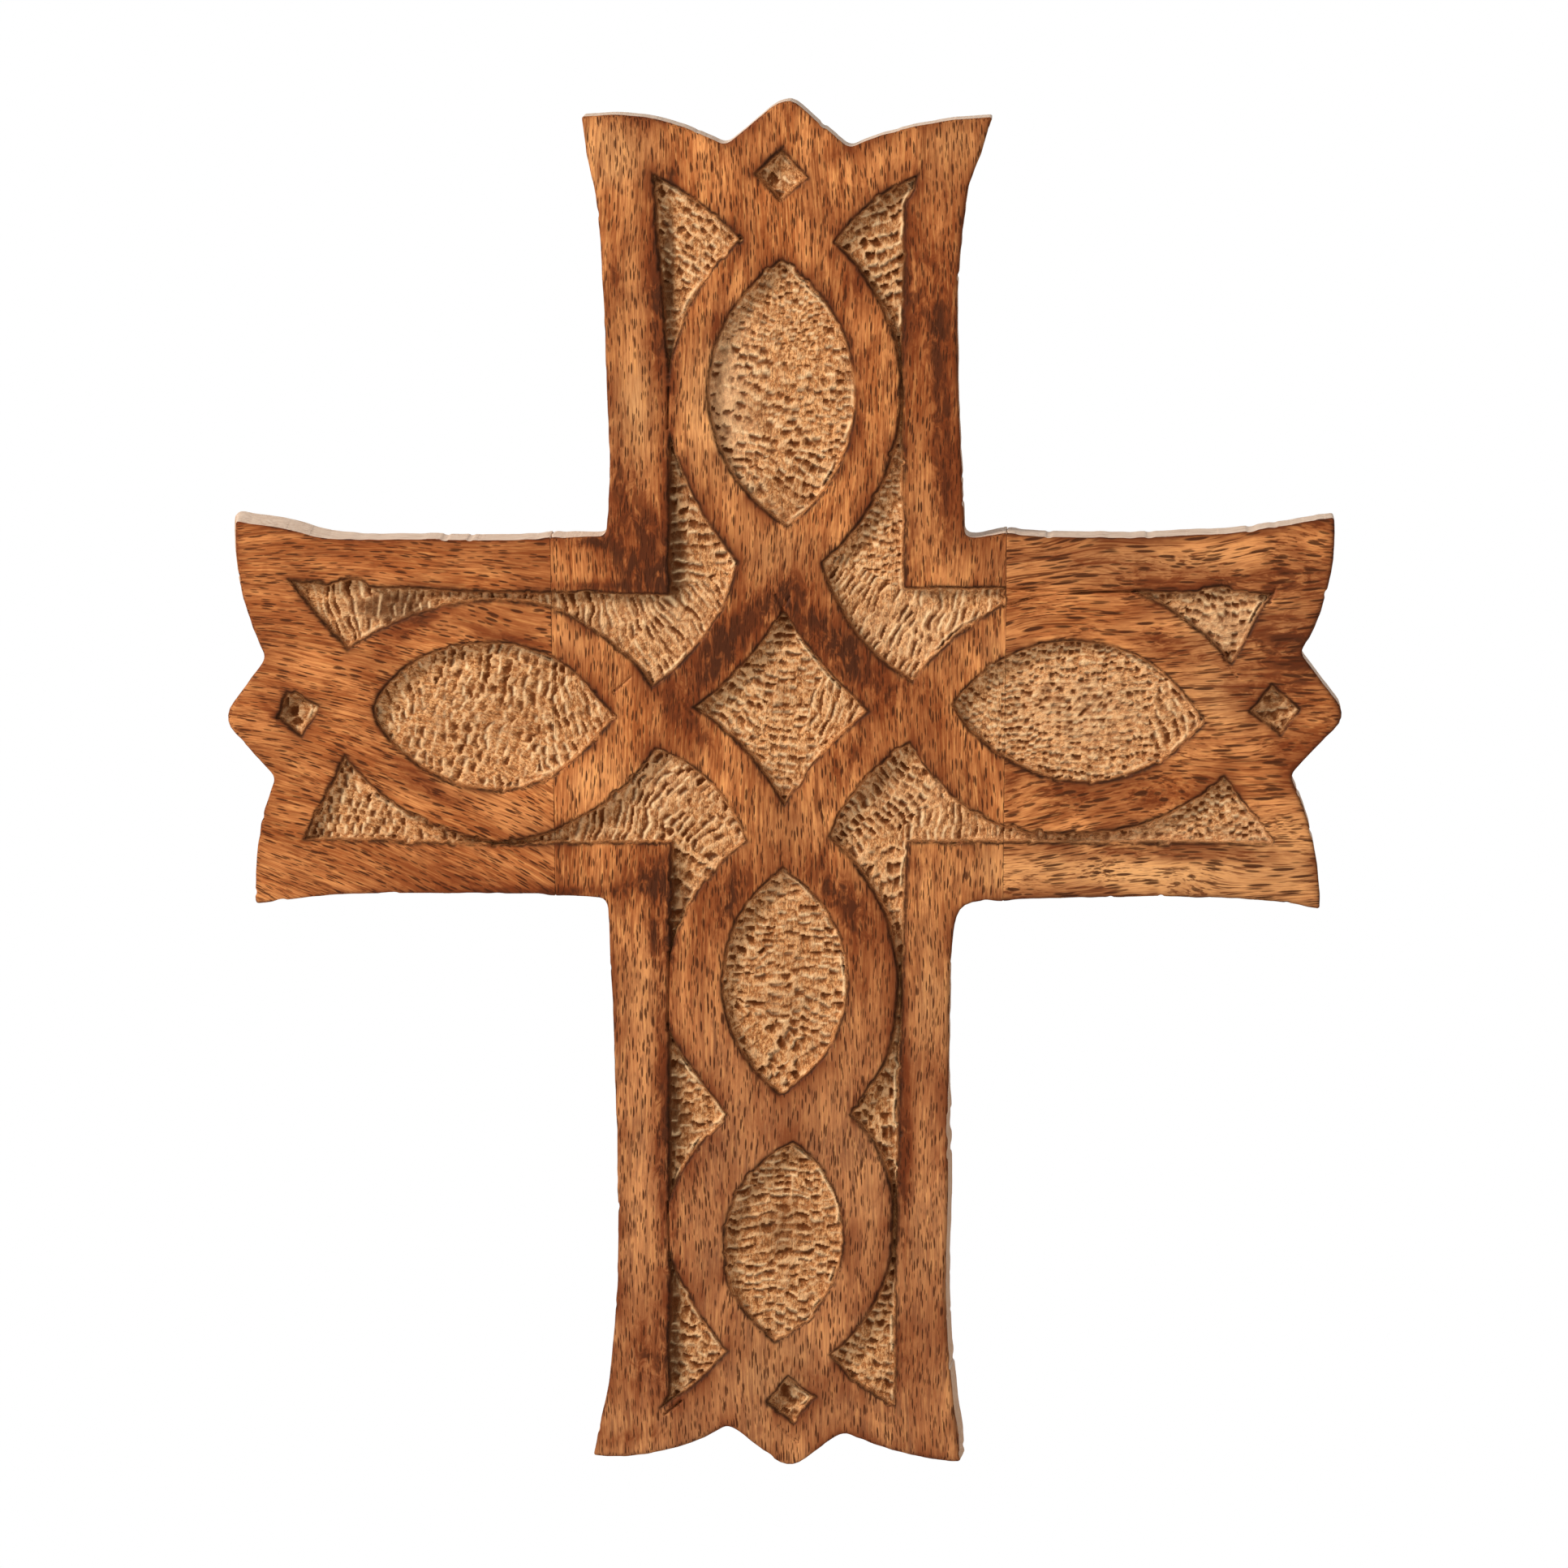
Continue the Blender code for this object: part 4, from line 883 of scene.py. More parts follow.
def fixFacing(mesh):
    # makes every face look outwards
    work = bmesh.new()
    work.from_mesh(mesh)
    bmesh.ops.recalc_face_normals(work, faces=work.faces[:])
    if work.calc_volume(signed=True) < 0:
        bmesh.ops.reverse_faces(work, faces=work.faces[:])
    openEdges = sum(1 for edge in work.edges if len(edge.link_faces) != 2)
    if openEdges:
        print(mesh.name, "has", openEdges, "edges without two faces")
    work.to_mesh(mesh)
    work.free()


# Node tools
class Graph:
    # short ways to add shader nodes to one tree
    def __init__(self, tree):
        tree.nodes.clear()
        self.tree = tree

    def add(self, kind, values=None, **settings):
        node = self.tree.nodes.new(kind)
        for key, value in settings.items():
            setattr(node, key, value)
        for key, value in (values or {}).items():
            self.join(value, node.inputs[key])
        return node

    def join(self, source, target):
        if isinstance(source, (int, float)):
            target.default_value = source
        elif isinstance(source, tuple):
            target.default_value = source if len(source) == len(target.default_value) else (*source, 1)
        else:
            self.tree.links.new(source, target)

    def math(self, operation, a, b, clamp=False):
        return self.add("ShaderNodeMath", {0: a, 1: b}, operation=operation, use_clamp=clamp).outputs[0]

    def times(self, a, b, clamp=False):
        return self.math("MULTIPLY", a, b, clamp)

    def ramp(self, value, low, high, smooth=True):
        kind = "SMOOTHSTEP" if smooth else "LINEAR"
        node = self.add("ShaderNodeMapRange", {0: value, 1: low, 2: high}, interpolation_type=kind)
        return node.outputs[0]

    def mix(self, factor, a, b):
        return self.add("ShaderNodeMix", {0: factor, 6: a, 7: b}, data_type="RGBA").outputs[2]

    def stretch(self, vector, scale, move=(0, 0, 0), turn=(0, 0, 0)):
        values = {"Vector": vector, "Location": move, "Rotation": turn, "Scale": scale}
        return self.add("ShaderNodeMapping", values, vector_type="POINT").outputs[0]

    def grain(self, vector, scale, detail, rough, move=(0, 0, 0), distortion=0.0, give=0):
        # noise that may be longer along one axis
        vector = self.stretch(vector, scale, move)
        values = {"Vector": vector, "Scale": 1.0, "Detail": detail, "Roughness": rough}
        values["Distortion"] = distortion
        return self.add("ShaderNodeTexNoise", values).outputs[give]

    def value(self, name):
        return self.add("ShaderNodeAttribute", attribute_name=name).outputs["Fac"]

    def parts(self, vector):
        return self.add("ShaderNodeSeparateXYZ", {0: vector}).outputs

    def place(self):
        return self.add("ShaderNodeTexCoord").outputs["Object"]

    def finish(self, shader, kind="ShaderNodeOutputMaterial"):
        self.add(kind, {0: shader.outputs[0]})


def newMaterial(name):
    material = bpy.data.materials.new(name)
    material.use_nodes = True
    return material, Graph(material.node_tree)


# Wood
woodLook = {
    "centre_board": {
        "slot": "mango_wood", "turn": 0.0, "move": (3.1, 0, 7.7), "warp": 1.6, "streak": 0.6,
        "dark": 0.10, "lines": 0.34, "gold": 0.5, "length": 1.0, "fan": 0.0, "from": 0.0,
        "halo": 0.9, "rim": 0.55, "veins": 0.3, "cloud": 0.62, "bore": 0.88, "dash": 0.65,
    },
    "left_arm": {
        "slot": "mango_wood_left", "turn": 76.0, "move": (31.0, 2, 5.2), "warp": 3.0, "streak": 0.85,
        "dark": 0.22, "lines": 0.42, "gold": 0.35, "length": 1.1, "fan": -0.006, "from": -85.0,
        "halo": 0.5, "rim": 0.45, "veins": 0.35, "cloud": 0.4, "bore": 1.0, "dash": 0.75,
    },
    "right_arm": {
        "slot": "mango_wood_right", "turn": 93.0, "move": (12.0, 5, 1.4), "warp": 4.5, "streak": 0.7,
        "dark": 0.0, "lines": 0.5, "gold": 0.25, "length": 1.5, "fan": 0.0, "from": 0.0,
        "halo": 0.8, "rim": 0.9, "veins": 0.75, "cloud": 0.28, "bore": 1.6, "dash": 1.45,
    },
}
woodTones = {
    "light": (0.700, 0.264, 0.083),
    "gold": (0.860, 0.380, 0.118),
    "mid": (0.460, 0.138, 0.037),
    "dark": (0.215, 0.052, 0.012),
    "red": (0.165, 0.033, 0.008),
    "burnt": (0.062, 0.018, 0.007),
    "vessel": (0.055, 0.015, 0.005),
    "floor": (0.76, 0.375, 0.148),
    "floorMid": (0.46, 0.175, 0.056),
    "chipStainAndShade": (0.120, 0.030, 0.006),
    "arris": (0.030, 0.011, 0.005),
    "side": (0.50, 0.28, 0.135),
    "sideToplight": (0.68, 0.51, 0.38),
    "sideDark": (0.42, 0.205, 0.090),
    "sideBroad": (0.40, 0.19, 0.080),
    "pale": (0.79, 0.395, 0.152),
    "foot": (0.34, 0.20, 0.105),
    "floorPale": (0.90, 0.53, 0.27),
    "floorBurnAndShadow": (0.150, 0.042, 0.010),
    "floorScorchAndShadow": (0.105, 0.036, 0.012),
    "floorRidgeHighlight": (0.90, 0.54, 0.265),
    "raised": (0.93, 0.62, 0.33),
    "dowelDark": (0.52, 0.34, 0.20),
    "dowelLight": (0.66, 0.47, 0.30),
}
woodGrains = {  # bumps per mm across, through and along, then detail, roughness, move, distortion
    "bend": ((0.03, 0.03, 0.012), 2.0, 0.5),
    "figure": ((0.24, 0.24, 0.035), 3.0, 0.55),
    "bands": ((0.62, 0.62, 0.028), 2.5, 0.5, (9, 4, 2)),
    "broad": ((0.045, 0.045, 0.012), 2.0, 0.5, (2, 8, 5)),
    "fibre": ((2.9, 2.9, 0.17), 1.0, 0.6),
    "mottle": ((0.16, 0.16, 0.06), 4.0, 0.65, (5, 3, 8)),
    "cloud": ((0.13, 0.13, 0.075), 4.0, 0.72, (8, 2, 6), 0.6),
    "wisps": ((0.42, 0.42, 0.16), 3.0, 0.7, (1, 6, 4), 0.8),
    "patchy": ((0.09, 0.09, 0.05), 4.0, 0.65, (6, 1, 3)),
    "speck": ((1.8, 1.8, 1.1), 2.0, 0.75),
    "crumbs": ((1.5, 1.5, 0.9), 2.0, 0.6, (4, 4, 4), 1.2),
    "scorch": ((0.35, 0.35, 0.35), 3.0, 0.65, (1, 7, 9)),
}
woodSurface = {
    "faceRough": 0.48,
    "floorRough": 0.8,
    "shine": 0.045,
    "bump": 0.55,
    "bumpDepth": 0.0003,   # metres
}


def woodMaterial(look):
    material, g = newMaterial(look["slot"])
    where = g.place()
    # millimetres, with the grain turned to run up the texture
    spot = g.stretch(where, (1000, 1000, 1000), look["move"], (0, math.radians(look["turn"]), 0))
    if look["fan"]:
        # the grain lies at a steeper angle towards the lower edge
        parts = g.parts(where)
        beside = g.math("SUBTRACT", g.times(parts[0], 1000.0), look["from"])
        spread = g.times(g.times(beside, g.times(parts[2], 1000.0)), look["fan"])
        shift = g.add("ShaderNodeCombineXYZ", {0: spread}).outputs[0]
        spot = g.add("ShaderNodeVectorMath", {0: spot, 1: shift}, operation="ADD").outputs[0]
    bend = g.grain(spot, *woodGrains["bend"], give="Color")
    reach = (look["warp"] * 5, look["warp"] * 5, 0.0)
    warped = g.add("ShaderNodeVectorMath", {0: bend, 1: reach, 2: spot}, operation="MULTIPLY_ADD").outputs[0]

    figure, bands, broad, fibre, mottle = [
        g.grain(warped, *woodGrains[name]) for name in ("figure", "bands", "broad", "fibre", "mottle")
    ]
    cloud, wisps, patchy, speck, crumbs, scorch = [
        g.grain(spot, *woodGrains[name])
        for name in ("cloud", "wisps", "patchy", "speck", "crumbs", "scorch")
    ]
    lines = g.grain(warped, (2.0, 2.0, 0.12 / look["length"]), 2.0, 0.6, (7, 5, 3))

    def wash(base, amount, share, name):
        # lays one of the wood's tones over the base
        return g.mix(g.times(amount, share), base, woodTones[name])

    def dashes(across, along, seed, low, high, share):
        # short dark pores of the wood, longer along the grain
        place = g.stretch(warped, (1 / across, 1 / across, 1 / along), (seed, 0, seed))
        values = {"Vector": place, "Scale": 1.0, "Randomness": 1.0}
        node = g.add("ShaderNodeTexVoronoi", values, feature="F1", distance="EUCLIDEAN")
        pick = g.add("ShaderNodeSeparateColor", {0: node.outputs["Color"]})
        shown = g.math("LESS_THAN", pick.outputs[0], share)
        spotMark = g.math("SUBTRACT", 1.0, g.ramp(node.outputs["Distance"], low, high))
        return g.times(spotMark, shown)

    pores = dashes(0.72 * look["bore"], 7.2 * look["dash"], 3.0, 0.21, 0.33, 0.78)
    small = dashes(0.50 * look["bore"], 4.8 * look["dash"], 11.0, 0.21, 0.34, 0.7)
    pore = g.math("MAXIMUM", pores, g.times(small, 0.85))

    fields = ("floor", "stain", "line", "near", "rim", "burn", "side", "pale", "hollow", "raised")
    floor, stain, line, near, rim, burn, side, pale, hollow, raised = [g.value(name) for name in fields]

    tone = g.mix(g.ramp(figure, 0.38, 0.60), woodTones["mid"], woodTones["light"])
    tone = wash(tone, g.ramp(mottle, 0.46, 0.62), 0.38, "dark")
    tone = wash(tone, g.ramp(cloud, 0.51, 0.63), look["cloud"], "red")
    streaks = g.times(g.ramp(bands, 0.5, 0.66), look["streak"])
    tone = wash(tone, streaks, 0.8, "dark")
    tone = g.mix(g.times(pale, 0.88, clamp=True), tone, woodTones["pale"])
    tone = wash(tone, g.ramp(lines, 0.47, 0.36), look["gold"], "gold")
    shade = g.math("ADD", g.times(g.ramp(broad, 0.4, 0.7), 0.35), look["dark"] - 0.12)
    calm = g.math("SUBTRACT", 1.0, g.times(pale, 0.5, clamp=True))
    tone = wash(tone, shade, calm, "dark")
    tone = wash(tone, g.times(g.ramp(lines, 0.52, 0.62), look["lines"]), calm, "dark")
    lower = 0.07 * look["veins"]
    veins = g.times(g.ramp(lines, 0.61 - lower, 0.66 - lower), 0.3 + 0.55 * look["veins"])
    tone = g.mix(veins, tone, woodTones["vessel"])
    tone = wash(tone, g.ramp(fibre, 0.49, 0.62), 0.34, "dark")
    tone = wash(tone, g.ramp(fibre, 0.46, 0.34), 0.24, "gold")
    # the foot of the cross is a greyer brown
    foot = g.ramp(g.parts(where)[2], -0.025, -0.105)
    tone = wash(tone, foot, 0.28, "foot")
    # smoke from the torch, in patches with streaky borders; a few marks are painted shadow along pocket
    # walls
    uneven = g.math("ADD", g.times(g.ramp(bands, 0.3, 0.7), 0.4), g.times(g.ramp(wisps, 0.36, 0.64), 0.75))
    smokeAndShadow = g.times(burn, g.math("ADD", 0.4, uneven), clamp=True)
    tone = wash(tone, g.ramp(smokeAndShadow, 0.0, 0.6, False), 0.85, "red")
    tone = g.mix(g.ramp(smokeAndShadow, 0.45, 1.05), tone, woodTones["burnt"])
    patches = g.ramp(patchy, 0.43, 0.60)
    wideEdge = g.math("MAXIMUM", g.math("POWER", near, 0.6), g.math("POWER", rim, 0.4))
    tone = wash(tone, g.times(wideEdge, patches), look["halo"], "red")
    tone = wash(tone, g.math("POWER", near, 2.5), g.times(patches, 0.5), "burnt")
    tone = wash(tone, g.math("POWER", rim, 2.2), look["rim"], "burnt")
    tone = wash(tone, pore, 0.92, "vessel")

    cutWood = g.mix(g.ramp(speck, 0.44, 0.58), woodTones["floorMid"], woodTones["floor"])
    cutWood = wash(cutWood, g.ramp(crumbs, 0.52, 0.64), 0.6, "chipStainAndShade")
    cutWood = wash(cutWood, g.ramp(bands, 0.5, 0.75), 0.3, "dark")
    cutWood = wash(cutWood, pore, 0.4, "vessel")
    cutWood = wash(cutWood, pale, 0.4, "floorPale")
    # burns on the floors, and painted shadow along the pockets' left walls
    cutWood = wash(cutWood, burn, 0.5, "floorBurnAndShadow")
    # painted shade in the floor's hollows and painted highlight on its ridges
    cutWood = wash(cutWood, g.ramp(hollow, 0.5, 0.85), 0.85, "chipStainAndShade")
    cutWood = wash(cutWood, g.ramp(hollow, 0.48, 0.18), 0.65, "floorRidgeHighlight")
    cutWood = wash(cutWood, g.ramp(burn, 0.55, 0.95), 0.75, "floorScorchAndShadow")
    # painted shade at the deep end of each gouge cut, partly stain
    cutWood = wash(cutWood, stain, 0.85, "chipStainAndShade")
    # painted highlight on the wall slivers and torn crests
    cutWood = wash(cutWood, raised, 0.85, "raised")
    tone = g.mix(floor, tone, cutWood)
    # dark line along the pocket edges and walls: soot from the torch and painted shade
    sootAndShade = g.math("ADD", 0.25, g.times(g.ramp(scorch, 0.32, 0.62), 0.7))
    tone = wash(tone, line, sootAndShade, "arris")

    sideTone = g.mix(g.ramp(fibre, 0.35, 0.7), woodTones["side"], woodTones["sideDark"])
    sideTone = wash(sideTone, g.ramp(broad, 0.45, 0.7), 0.5, "sideBroad")
    # the upper sides are painted paler: painted light from above, broken up by the fibres
    upward = g.parts(g.add("ShaderNodeTexCoord").outputs["Normal"])[2]
    toplightBreakup = g.math("SUBTRACT", 1.0, g.times(g.ramp(fibre, 0.42, 0.62), 0.35))
    paintedToplight = g.times(g.ramp(upward, 0.25, 0.8), toplightBreakup)
    # the flat back gets none of this painted light, though its smooth shading tilts upward beside the recess
    facing = g.parts(g.add("ShaderNodeNewGeometry").outputs["True Normal"])[2]
    paintedToplight = g.times(paintedToplight, g.ramp(facing, 0.05, 0.2))
    sideTone = g.mix(paintedToplight, sideTone, woodTones["sideToplight"])
    sideTone = wash(sideTone, pore, 0.4, "dark")
    tone = g.mix(g.ramp(side, 0.02, 0.3), tone, sideTone)

    roughs = {0: floor, 3: woodSurface["faceRough"], 4: woodSurface["floorRough"]}
    rough = g.add("ShaderNodeMapRange", roughs).outputs[0]
    faceRelief = g.math("SUBTRACT", g.times(fibre, 0.4), g.times(pore, 0.9))
    torn = g.times(g.math("ADD", speck, crumbs), floor)
    relief = g.math("ADD", faceRelief, g.times(torn, 1.6))
    values = {"Strength": woodSurface["bump"], "Distance": woodSurface["bumpDepth"], "Height": relief}
    bump = g.add("ShaderNodeBump", values).outputs[0]
    values = {"Base Color": tone, "Roughness": rough, "Normal": bump}
    values["Specular IOR Level"] = woodSurface["shine"]
    g.finish(g.add("ShaderNodeBsdfPrincipled", values))
    return material


# Boards into the scene
depths = [v.co.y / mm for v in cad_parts["centre_board"].data.vertices]
recessFloor = max(depth for depth in depths if depth < backLevel - 1)
recessEdges = planeEdges("centre_board", recessFloor, 1)


def backOpening(name):
    # corner points, in order, of the recess cut for the hanger
    if name != "centre_board":
        return None
    follow = {}
    for x0, z0, x1, z1 in recessEdges[:, :4]:
        follow.setdefault((x0, z0), []).append((x1, z1))
        follow.setdefault((x1, z1), []).append((x0, z0))
    start = next(iter(follow))
    loop = [start]
    last = None
    while True:
        ways = [p for p in follow[loop[-1]] if p != last]
        last = loop[-1]
        if ways[0] == start or len(loop) > 500:
            break
        loop.append(ways[0])
    return loop


for name in boardNames:
    look = woodLook[name]
    piece = buildBoard(name, woodMaterial(look))
    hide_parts(name)
    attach(piece, "cross")
    print(name, "carved:", len(piece.data.polygons), "faces")


# Hanger and dowels
metalLook = {
    "zinc_strap": {"tone": (0.62, 0.63, 0.65), "dull": (0.40, 0.41, 0.43), "rough": 0.38},
    "wire_steel": {"tone": (0.60, 0.60, 0.61), "dull": (0.36, 0.36, 0.37), "rough": 0.3},
    "screw_steel": {"tone": (0.66, 0.64, 0.58), "dull": (0.42, 0.39, 0.33), "rough": 0.34},
}


def metalMaterial(name, look):
    material, g = newMaterial(name)
    flakes = g.grain(g.place(), (700, 700, 700), 3.0, 0.6)
    tone = g.mix(g.ramp(flakes, 0.4, 0.65), look["tone"], look["dull"])
    values = {"Base Color": tone, "Metallic": 1.0, "Roughness": look["rough"]}
    g.finish(g.add("ShaderNodeBsdfPrincipled", values))
    return material


def dowelMaterial():
    material, g = newMaterial("beech_dowel")
    grain = g.grain(g.place(), (60, 900, 900), 3.0, 0.55)
    tone = g.mix(g.ramp(grain, 0.35, 0.65), woodTones["dowelDark"], woodTones["dowelLight"])
    g.finish(g.add("ShaderNodeBsdfPrincipled", {"Base Color": tone, "Roughness": 0.6}))
    return material


metals = {name: metalMaterial(name, look) for name, look in metalLook.items()}
beech = dowelMaterial()
nodeMaterials = {
    "dowel": beech,
    "hanger_screw": metals["screw_steel"],
    "hanger_strap": metals["zinc_strap"],
    "hanger_ring": metals["wire_steel"],
}
for name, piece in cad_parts.items():
    for start, material in nodeMaterials.items():
        if not name.startswith(start):
            continue
        if not piece.material_slots:
            piece.data.materials.append(material)
        for place in piece.material_slots:
            place.material = material


def fineMesh(name, spots, faces, material, bend=0.6):
    # a smooth piece from points in mm
    mesh = bpy.data.meshes.new(name)
    mesh.from_pydata([tuple(c * mm for c in spot) for spot in spots], [], faces)
    mesh.materials.append(material)
    fixFacing(mesh)
    mesh.set_sharp_from_angle(angle=bend)
    return addObject(name, mesh)


def bandFaces(count, size, closed=False):
    # four-sided faces between rows of points; each row holds size points in a ring
    faces = []
    for k in range(count if closed else count - 1):
        for s in range(size):
            m, n = (s + 1) % size, (k + 1) % count
            faces.append([k * size + s, k * size + m, n * size + m, n * size + s])
    return faces


def tube(name, path, radius, sides, material):
    # a round wire along a closed path that lies in one x-z plane
    spots = []
    count = len(path)
    for k, (x, y, z) in enumerate(path):
        ax, az = path[k - 1][::2]
        bx, bz = path[(k + 1) % count][::2]
        dx, dz = bx - ax, bz - az
        size = math.hypot(dx, dz)
        nx, nz = dz / size, -dx / size
        for s in range(sides):
            a = 2 * math.pi * s / sides
            out = radius[k] * math.cos(a)
            spots.append((x + nx * out, y + radius[k] * math.sin(a), z + nz * out))
    return fineMesh(name, spots, bandFaces(count, sides, True), material, 1.2)


def turnedPiece(name, profile, place, sides, material):
    # a round piece about a line along y; the profile gives (radius, y) from one end to the other
    spots = []
    px, py, pz = place
    for r, y in profile:
        for s in range(sides):
            a = 2 * math.pi * s / sides
            spots.append((px + r * math.cos(a), py + y, pz + r * math.sin(a)))
    faces = bandFaces(len(profile), sides)
    faces.append(list(range(sides)))
    faces.append([(len(profile) - 1) * sides + s for s in reversed(range(sides))])
    return fineMesh(name, spots, faces, material, 0.7)


def cutAway(piece, cutter):
    # takes the cutter's shape out of a piece, then drops the cutter
    step = piece.modifiers.new("cut", "BOOLEAN")
    step.operation = "DIFFERENCE"
    step.solver = "EXACT"
    step.object = cutter
    graph = bpy.context.evaluated_depsgraph_get()
    mesh = bpy.data.meshes.new_from_object(piece.evaluated_get(graph))
    piece.modifiers.clear()
    piece.data = mesh
    mesh.set_sharp_from_angle(angle=0.6)
    bpy.data.objects.remove(cutter)


hanger = {
    "wire": 0.9,           # radius of the wire
    "cornerRound": 2.6,    # rounding of the ring's corners
    "tipHalf": 2.1,        # half the width of the ring's lower end
    "play": 0.25,          # room between wire and eye
    "sheet": 0.9,          # thickness of the strap
    "eyeTurn": 300.0,      # degrees of the eye's curl
    "edgeRound": 0.16,     # rounding of the strap's edges
    "headRadius": 2.8,
    "headHeight": 1.4,
    "shankRadius": 1.4,
    "slotHalf": 0.4,
    "slotDeep": 0.6,
    "holeRoom": 0.15,      # room round a screw's head in the strap
    "wireSides": 18,
    "screwSides": 40,
}
ringBox = [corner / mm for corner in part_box("hanger_ring")]
strapBox = [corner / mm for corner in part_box("hanger_strap")]
pivotY = (ringBox[0].y + ringBox[1].y) / 2
pivotZ = ringBox[1].z - hanger["wire"]


def buildRing():
    half = (ringBox[1].x - ringBox[0].x) / 2 - hanger["wire"]
    drop = ringBox[1].z - ringBox[0].z - 2 * hanger["wire"]
    tip = hanger["tipHalf"]
    corners = [Vector((half, 0)), Vector((tip, -drop)), Vector((-tip, -drop)), Vector((-half, 0))]
    path = []
    for k, corner in enumerate(corners):
        before, after = corners[k - 1] - corner, corners[(k + 1) % 4] - corner
        cut = min(hanger["cornerRound"], before.length * 0.45, after.length * 0.45)
        first, last = corner + before.normalized() * cut, corner + after.normalized() * cut
        for step in range(13):
            t = step / 12
            path.append(first * (1 - t) ** 2 + corner * 2 * t * (1 - t) + last * t * t)
        for step in range(1, 8):
            path.append(last + after.normalized() * (after.length - 2 * cut) * step / 8)
    spots = [(p.x, pivotY, pivotZ + p.y) for p in path]
    radius = [hanger["wire"] * (1 - 0.012 - 0.012 * math.sin(k * 1.7)) for k in range(len(path))]
    return tube("hangerRing", spots, radius, hanger["wireSides"], metals["wire_steel"])


def buildStrap():
    inner = hanger["wire"] + hanger["play"]
    outer = inner + hanger["sheet"]
    length = pivotZ - strapBox[0].z
    turnBy = math.radians(hanger["eyeTurn"])
    steps = 44
    curl = [turnBy * k / steps for k in range(steps + 1)]
    outside = [(-outer, -length)] + [(-math.cos(a) * outer, math.sin(a) * outer) for a in curl]
    inside = [(-inner, -length)] + [(-math.cos(a) * inner, math.sin(a) * inner) for a in curl]
    half = (strapBox[1].x - strapBox[0].x) / 2
    soft = hanger["edgeRound"]
    edge = [(half, soft), (half - soft * 0.3, soft * 0.3), (half - soft, 0)]
    rowsAcross = [(-x, thin) for x, thin in edge] + edge[::-1]
    spots = []
    count = len(outside)
    ringSize = 2 * count
    around = list(zip(outside, inside)) + list(zip(inside, outside))[::-1]
    for x, thin in rowsAcross:
        share = thin / hanger["sheet"]
        for (ay, az), (by, bz) in around:
            spots.append((x, pivotY + ay + (by - ay) * share, pivotZ + az + (bz - az) * share))
    faces = bandFaces(len(rowsAcross), ringSize)
    for start in (0, (len(rowsAcross) - 1) * ringSize):
        end = start + ringSize - 1
        for k in range(count - 1):
            faces.append([start + k, start + k + 1, end - 1 - k, end - k])
    return fineMesh("hangerStrap", spots, faces, metals["zinc_strap"], 0.5)


def screwShape(grow, top):
    head, shank = hanger["headRadius"] + grow, hanger["shankRadius"] + grow
    tall = hanger["headHeight"]
    rounded = [(head - 0.3, top), (head - 0.1, top - 0.04), (head, -0.16), (head - 0.12, -0.3)]
    return rounded + [(shank + 0.25, -tall + 0.12), (shank, -tall - 0.25)]


strap = buildStrap()
for name in ("hanger_screw_upper", "hanger_screw_lower"):
    low, high = [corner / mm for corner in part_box(name)]
    place = ((low.x + high.x) / 2, high.y, (low.z + high.z) / 2)
    deep = high.y - low.y
    body = screwShape(0, -0.01) + [(hanger["shankRadius"], -deep + 3.0), (0.35, -deep)]
    sides = hanger["screwSides"]
    screw = turnedPiece("fine_" + name, body, place, sides, metals["screw_steel"])
    slotSpots = []
    for x in (place[0] - 4, place[0] + 4):
        for y in (place[1] - hanger["slotDeep"], place[1] + 1):
            for z in (place[2] - hanger["slotHalf"], place[2] + hanger["slotHalf"]):
                slotSpots.append((x, y, z))
    slotFaces = [[0, 1, 3, 2], [4, 6, 7, 5], [0, 4, 5, 1], [2, 3, 7, 6], [0, 2, 6, 4], [1, 5, 7, 3]]
    cutAway(screw, fineMesh("slotCutter", slotSpots, slotFaces, metals["screw_steel"]))
    room = hanger["holeRoom"]
    opening = [(hanger["headRadius"] + room, 1.0), *screwShape(room, 0.0)[2:]]
    opening.append((hanger["shankRadius"] + room, -3.0))
    hole = turnedPiece("holeCutter", opening, place, sides, metals["screw_steel"])
    cutAway(strap, hole)
    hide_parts(name)
    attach(screw, "cross")
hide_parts("hanger_strap")
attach(strap, "cross")
ring = buildRing()
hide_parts("hanger_ring")
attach(ring, "ring")
print("hanger and dowels finished")

# Camera and lights
view = {
    "width": 0.3491,       # metres across the picture at the front of the boards
    "aimX": 0.0,
    "aimZ": -0.0148,
    "distance": 3.3,
    "up": 4.8,             # degrees above level
    "round": 1.3,          # degrees towards the right
    "sensor": 36.0,        # mm
}
aim = Vector((view["aimX"], frontLevel * mm, view["aimZ"]))
up, turned = math.radians(view["up"]), math.radians(view["round"])
towards = Vector((math.sin(turned) * math.cos(up), -math.cos(turned) * math.cos(up), math.sin(up)))
cameraData = bpy.data.cameras.new("photoCamera")
camera = addObject("photoCamera", cameraData)
camera.location = aim + towards * view["distance"]
camera.rotation_euler = towards.to_track_quat("Z", "Y").to_euler()
cameraData.sensor_width = view["sensor"]
cameraData.lens = view["sensor"] * view["distance"] / view["width"]
cameraData.clip_start = 0.05
cameraData.dof.use_dof = False
bpy.context.scene.camera = camera
bpy.context.scene.view_settings.view_transform = "Standard"

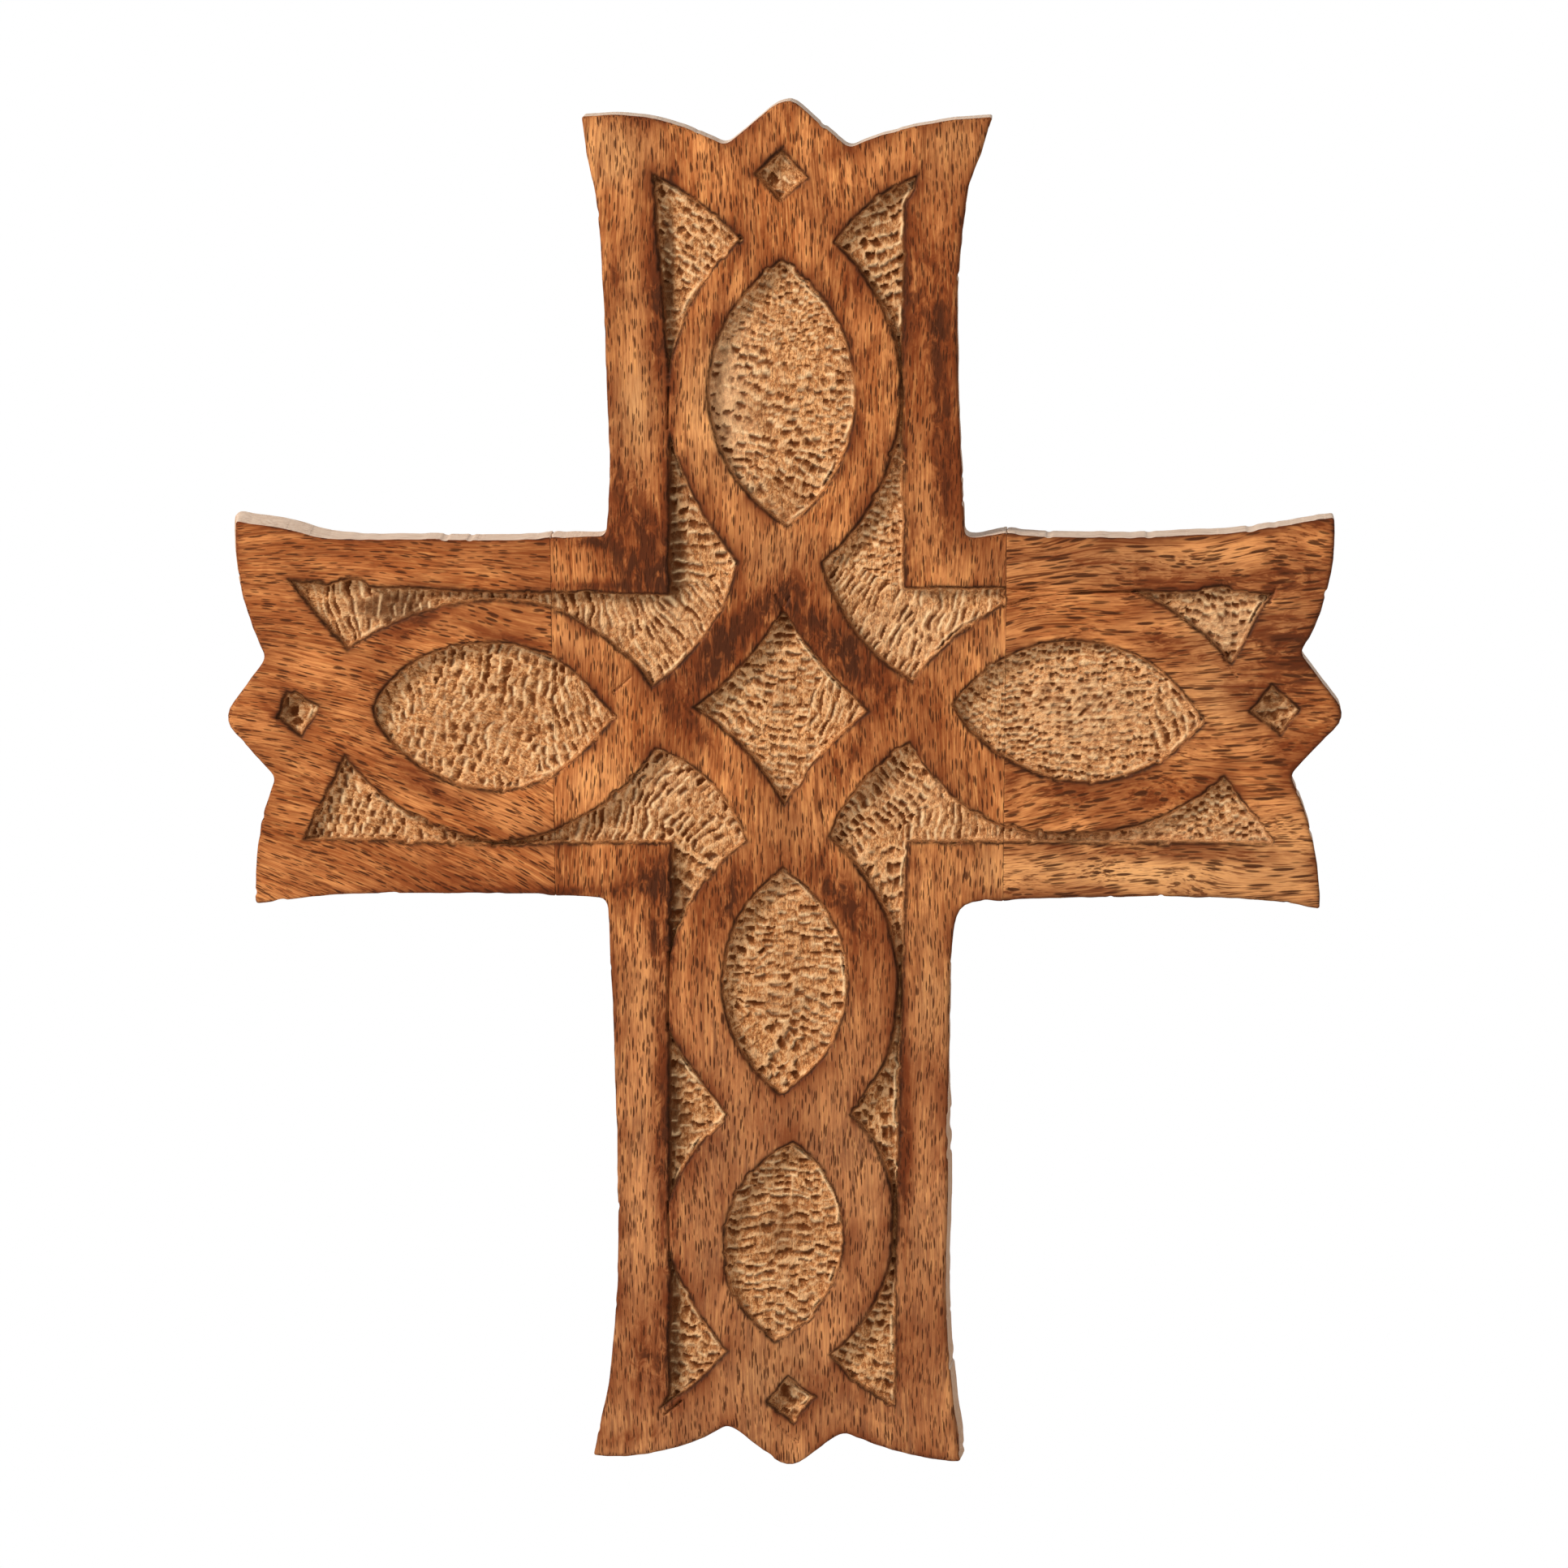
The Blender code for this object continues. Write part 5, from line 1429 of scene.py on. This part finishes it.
lamps = {
    "keyLamp": {"place": (-1.0, -0.8, 0.8), "size": 0.42, "watts": 24.0, "tone": (1.0, 0.985, 0.96)},
    "fillLamp": {"place": (0.9, -1.2, 0.2), "size": 1.2, "watts": 3.0, "tone": (1.0, 1.0, 1.0)},
}
for name, lamp in lamps.items():
    data = bpy.data.lights.new(name, "AREA")
    data.shape = "SQUARE"
    data.size = lamp["size"]
    data.energy = lamp["watts"]
    data.color = lamp["tone"]
    light = addObject(name, data)
    light.location = lamp["place"]
    shines = Vector(lamp["place"]) - Vector((0, 0, -0.02))
    light.rotation_euler = shines.to_track_quat("Z", "Y").to_euler()

# The pale surroundings
surroundings = {
    "white": (1.0, 1.0, 1.0, 1),
    "worldLight": 0.40,    # how strongly the world lights the cross
    "floorTone": (0.86, 0.86, 0.86, 1),
    "floorDrop": 0.06,     # metres below the cross
    "floorRadius": 1.6,
    "fadeFrom": 0.13,      # the floor fades into white between these distances
    "fadeTo": 0.225,
}


def seenDirectly(g):
    # 1 for rays from the camera, from a mirror or through glass
    rays = g.add("ShaderNodeLightPath").outputs
    first = g.math("MAXIMUM", rays["Is Camera Ray"], rays["Is Glossy Ray"])
    return g.math("MAXIMUM", first, rays["Is Transmission Ray"])


world = bpy.data.worlds.new("studioWorld")
bpy.context.scene.world = world
world.use_nodes = True
g = Graph(world.node_tree)
white = surroundings["white"]
dim = g.add("ShaderNodeBackground", {0: white, 1: surroundings["worldLight"]}).outputs[0]
bright = g.add("ShaderNodeBackground", {0: white, 1: 1.0}).outputs[0]
g.finish(g.add("ShaderNodeMixShader", {0: seenDirectly(g), 1: dim, 2: bright}), "ShaderNodeOutputWorld")

floorMesh = bpy.data.meshes.new("paleFloor")
floorHeight = cadBox[0].z - surroundings["floorDrop"]
radius = surroundings["floorRadius"]
corners = [a * math.pi / 24 for a in range(48)]
around = [(radius * math.cos(a), radius * math.sin(a), floorHeight) for a in corners]
floorMesh.from_pydata(around, [], [list(range(48))])
floorPiece = addObject("paleFloor", floorMesh)
material, g = newMaterial("paleFloor")
flatPlace = g.stretch(g.place(), (1, 1, 0))
apart = g.add("ShaderNodeVectorMath", {0: flatPlace}, operation="LENGTH").outputs["Value"]
fade = g.times(seenDirectly(g), g.ramp(apart, surroundings["fadeFrom"], surroundings["fadeTo"]))
matte = g.add("ShaderNodeBsdfDiffuse", {0: surroundings["floorTone"]}).outputs[0]
glow = g.add("ShaderNodeEmission", {0: white, 1: 1.0}).outputs[0]
g.finish(g.add("ShaderNodeMixShader", {0: fade, 1: matte, 2: glow}))
floorMesh.materials.append(material)
print("camera, lights and floor set")
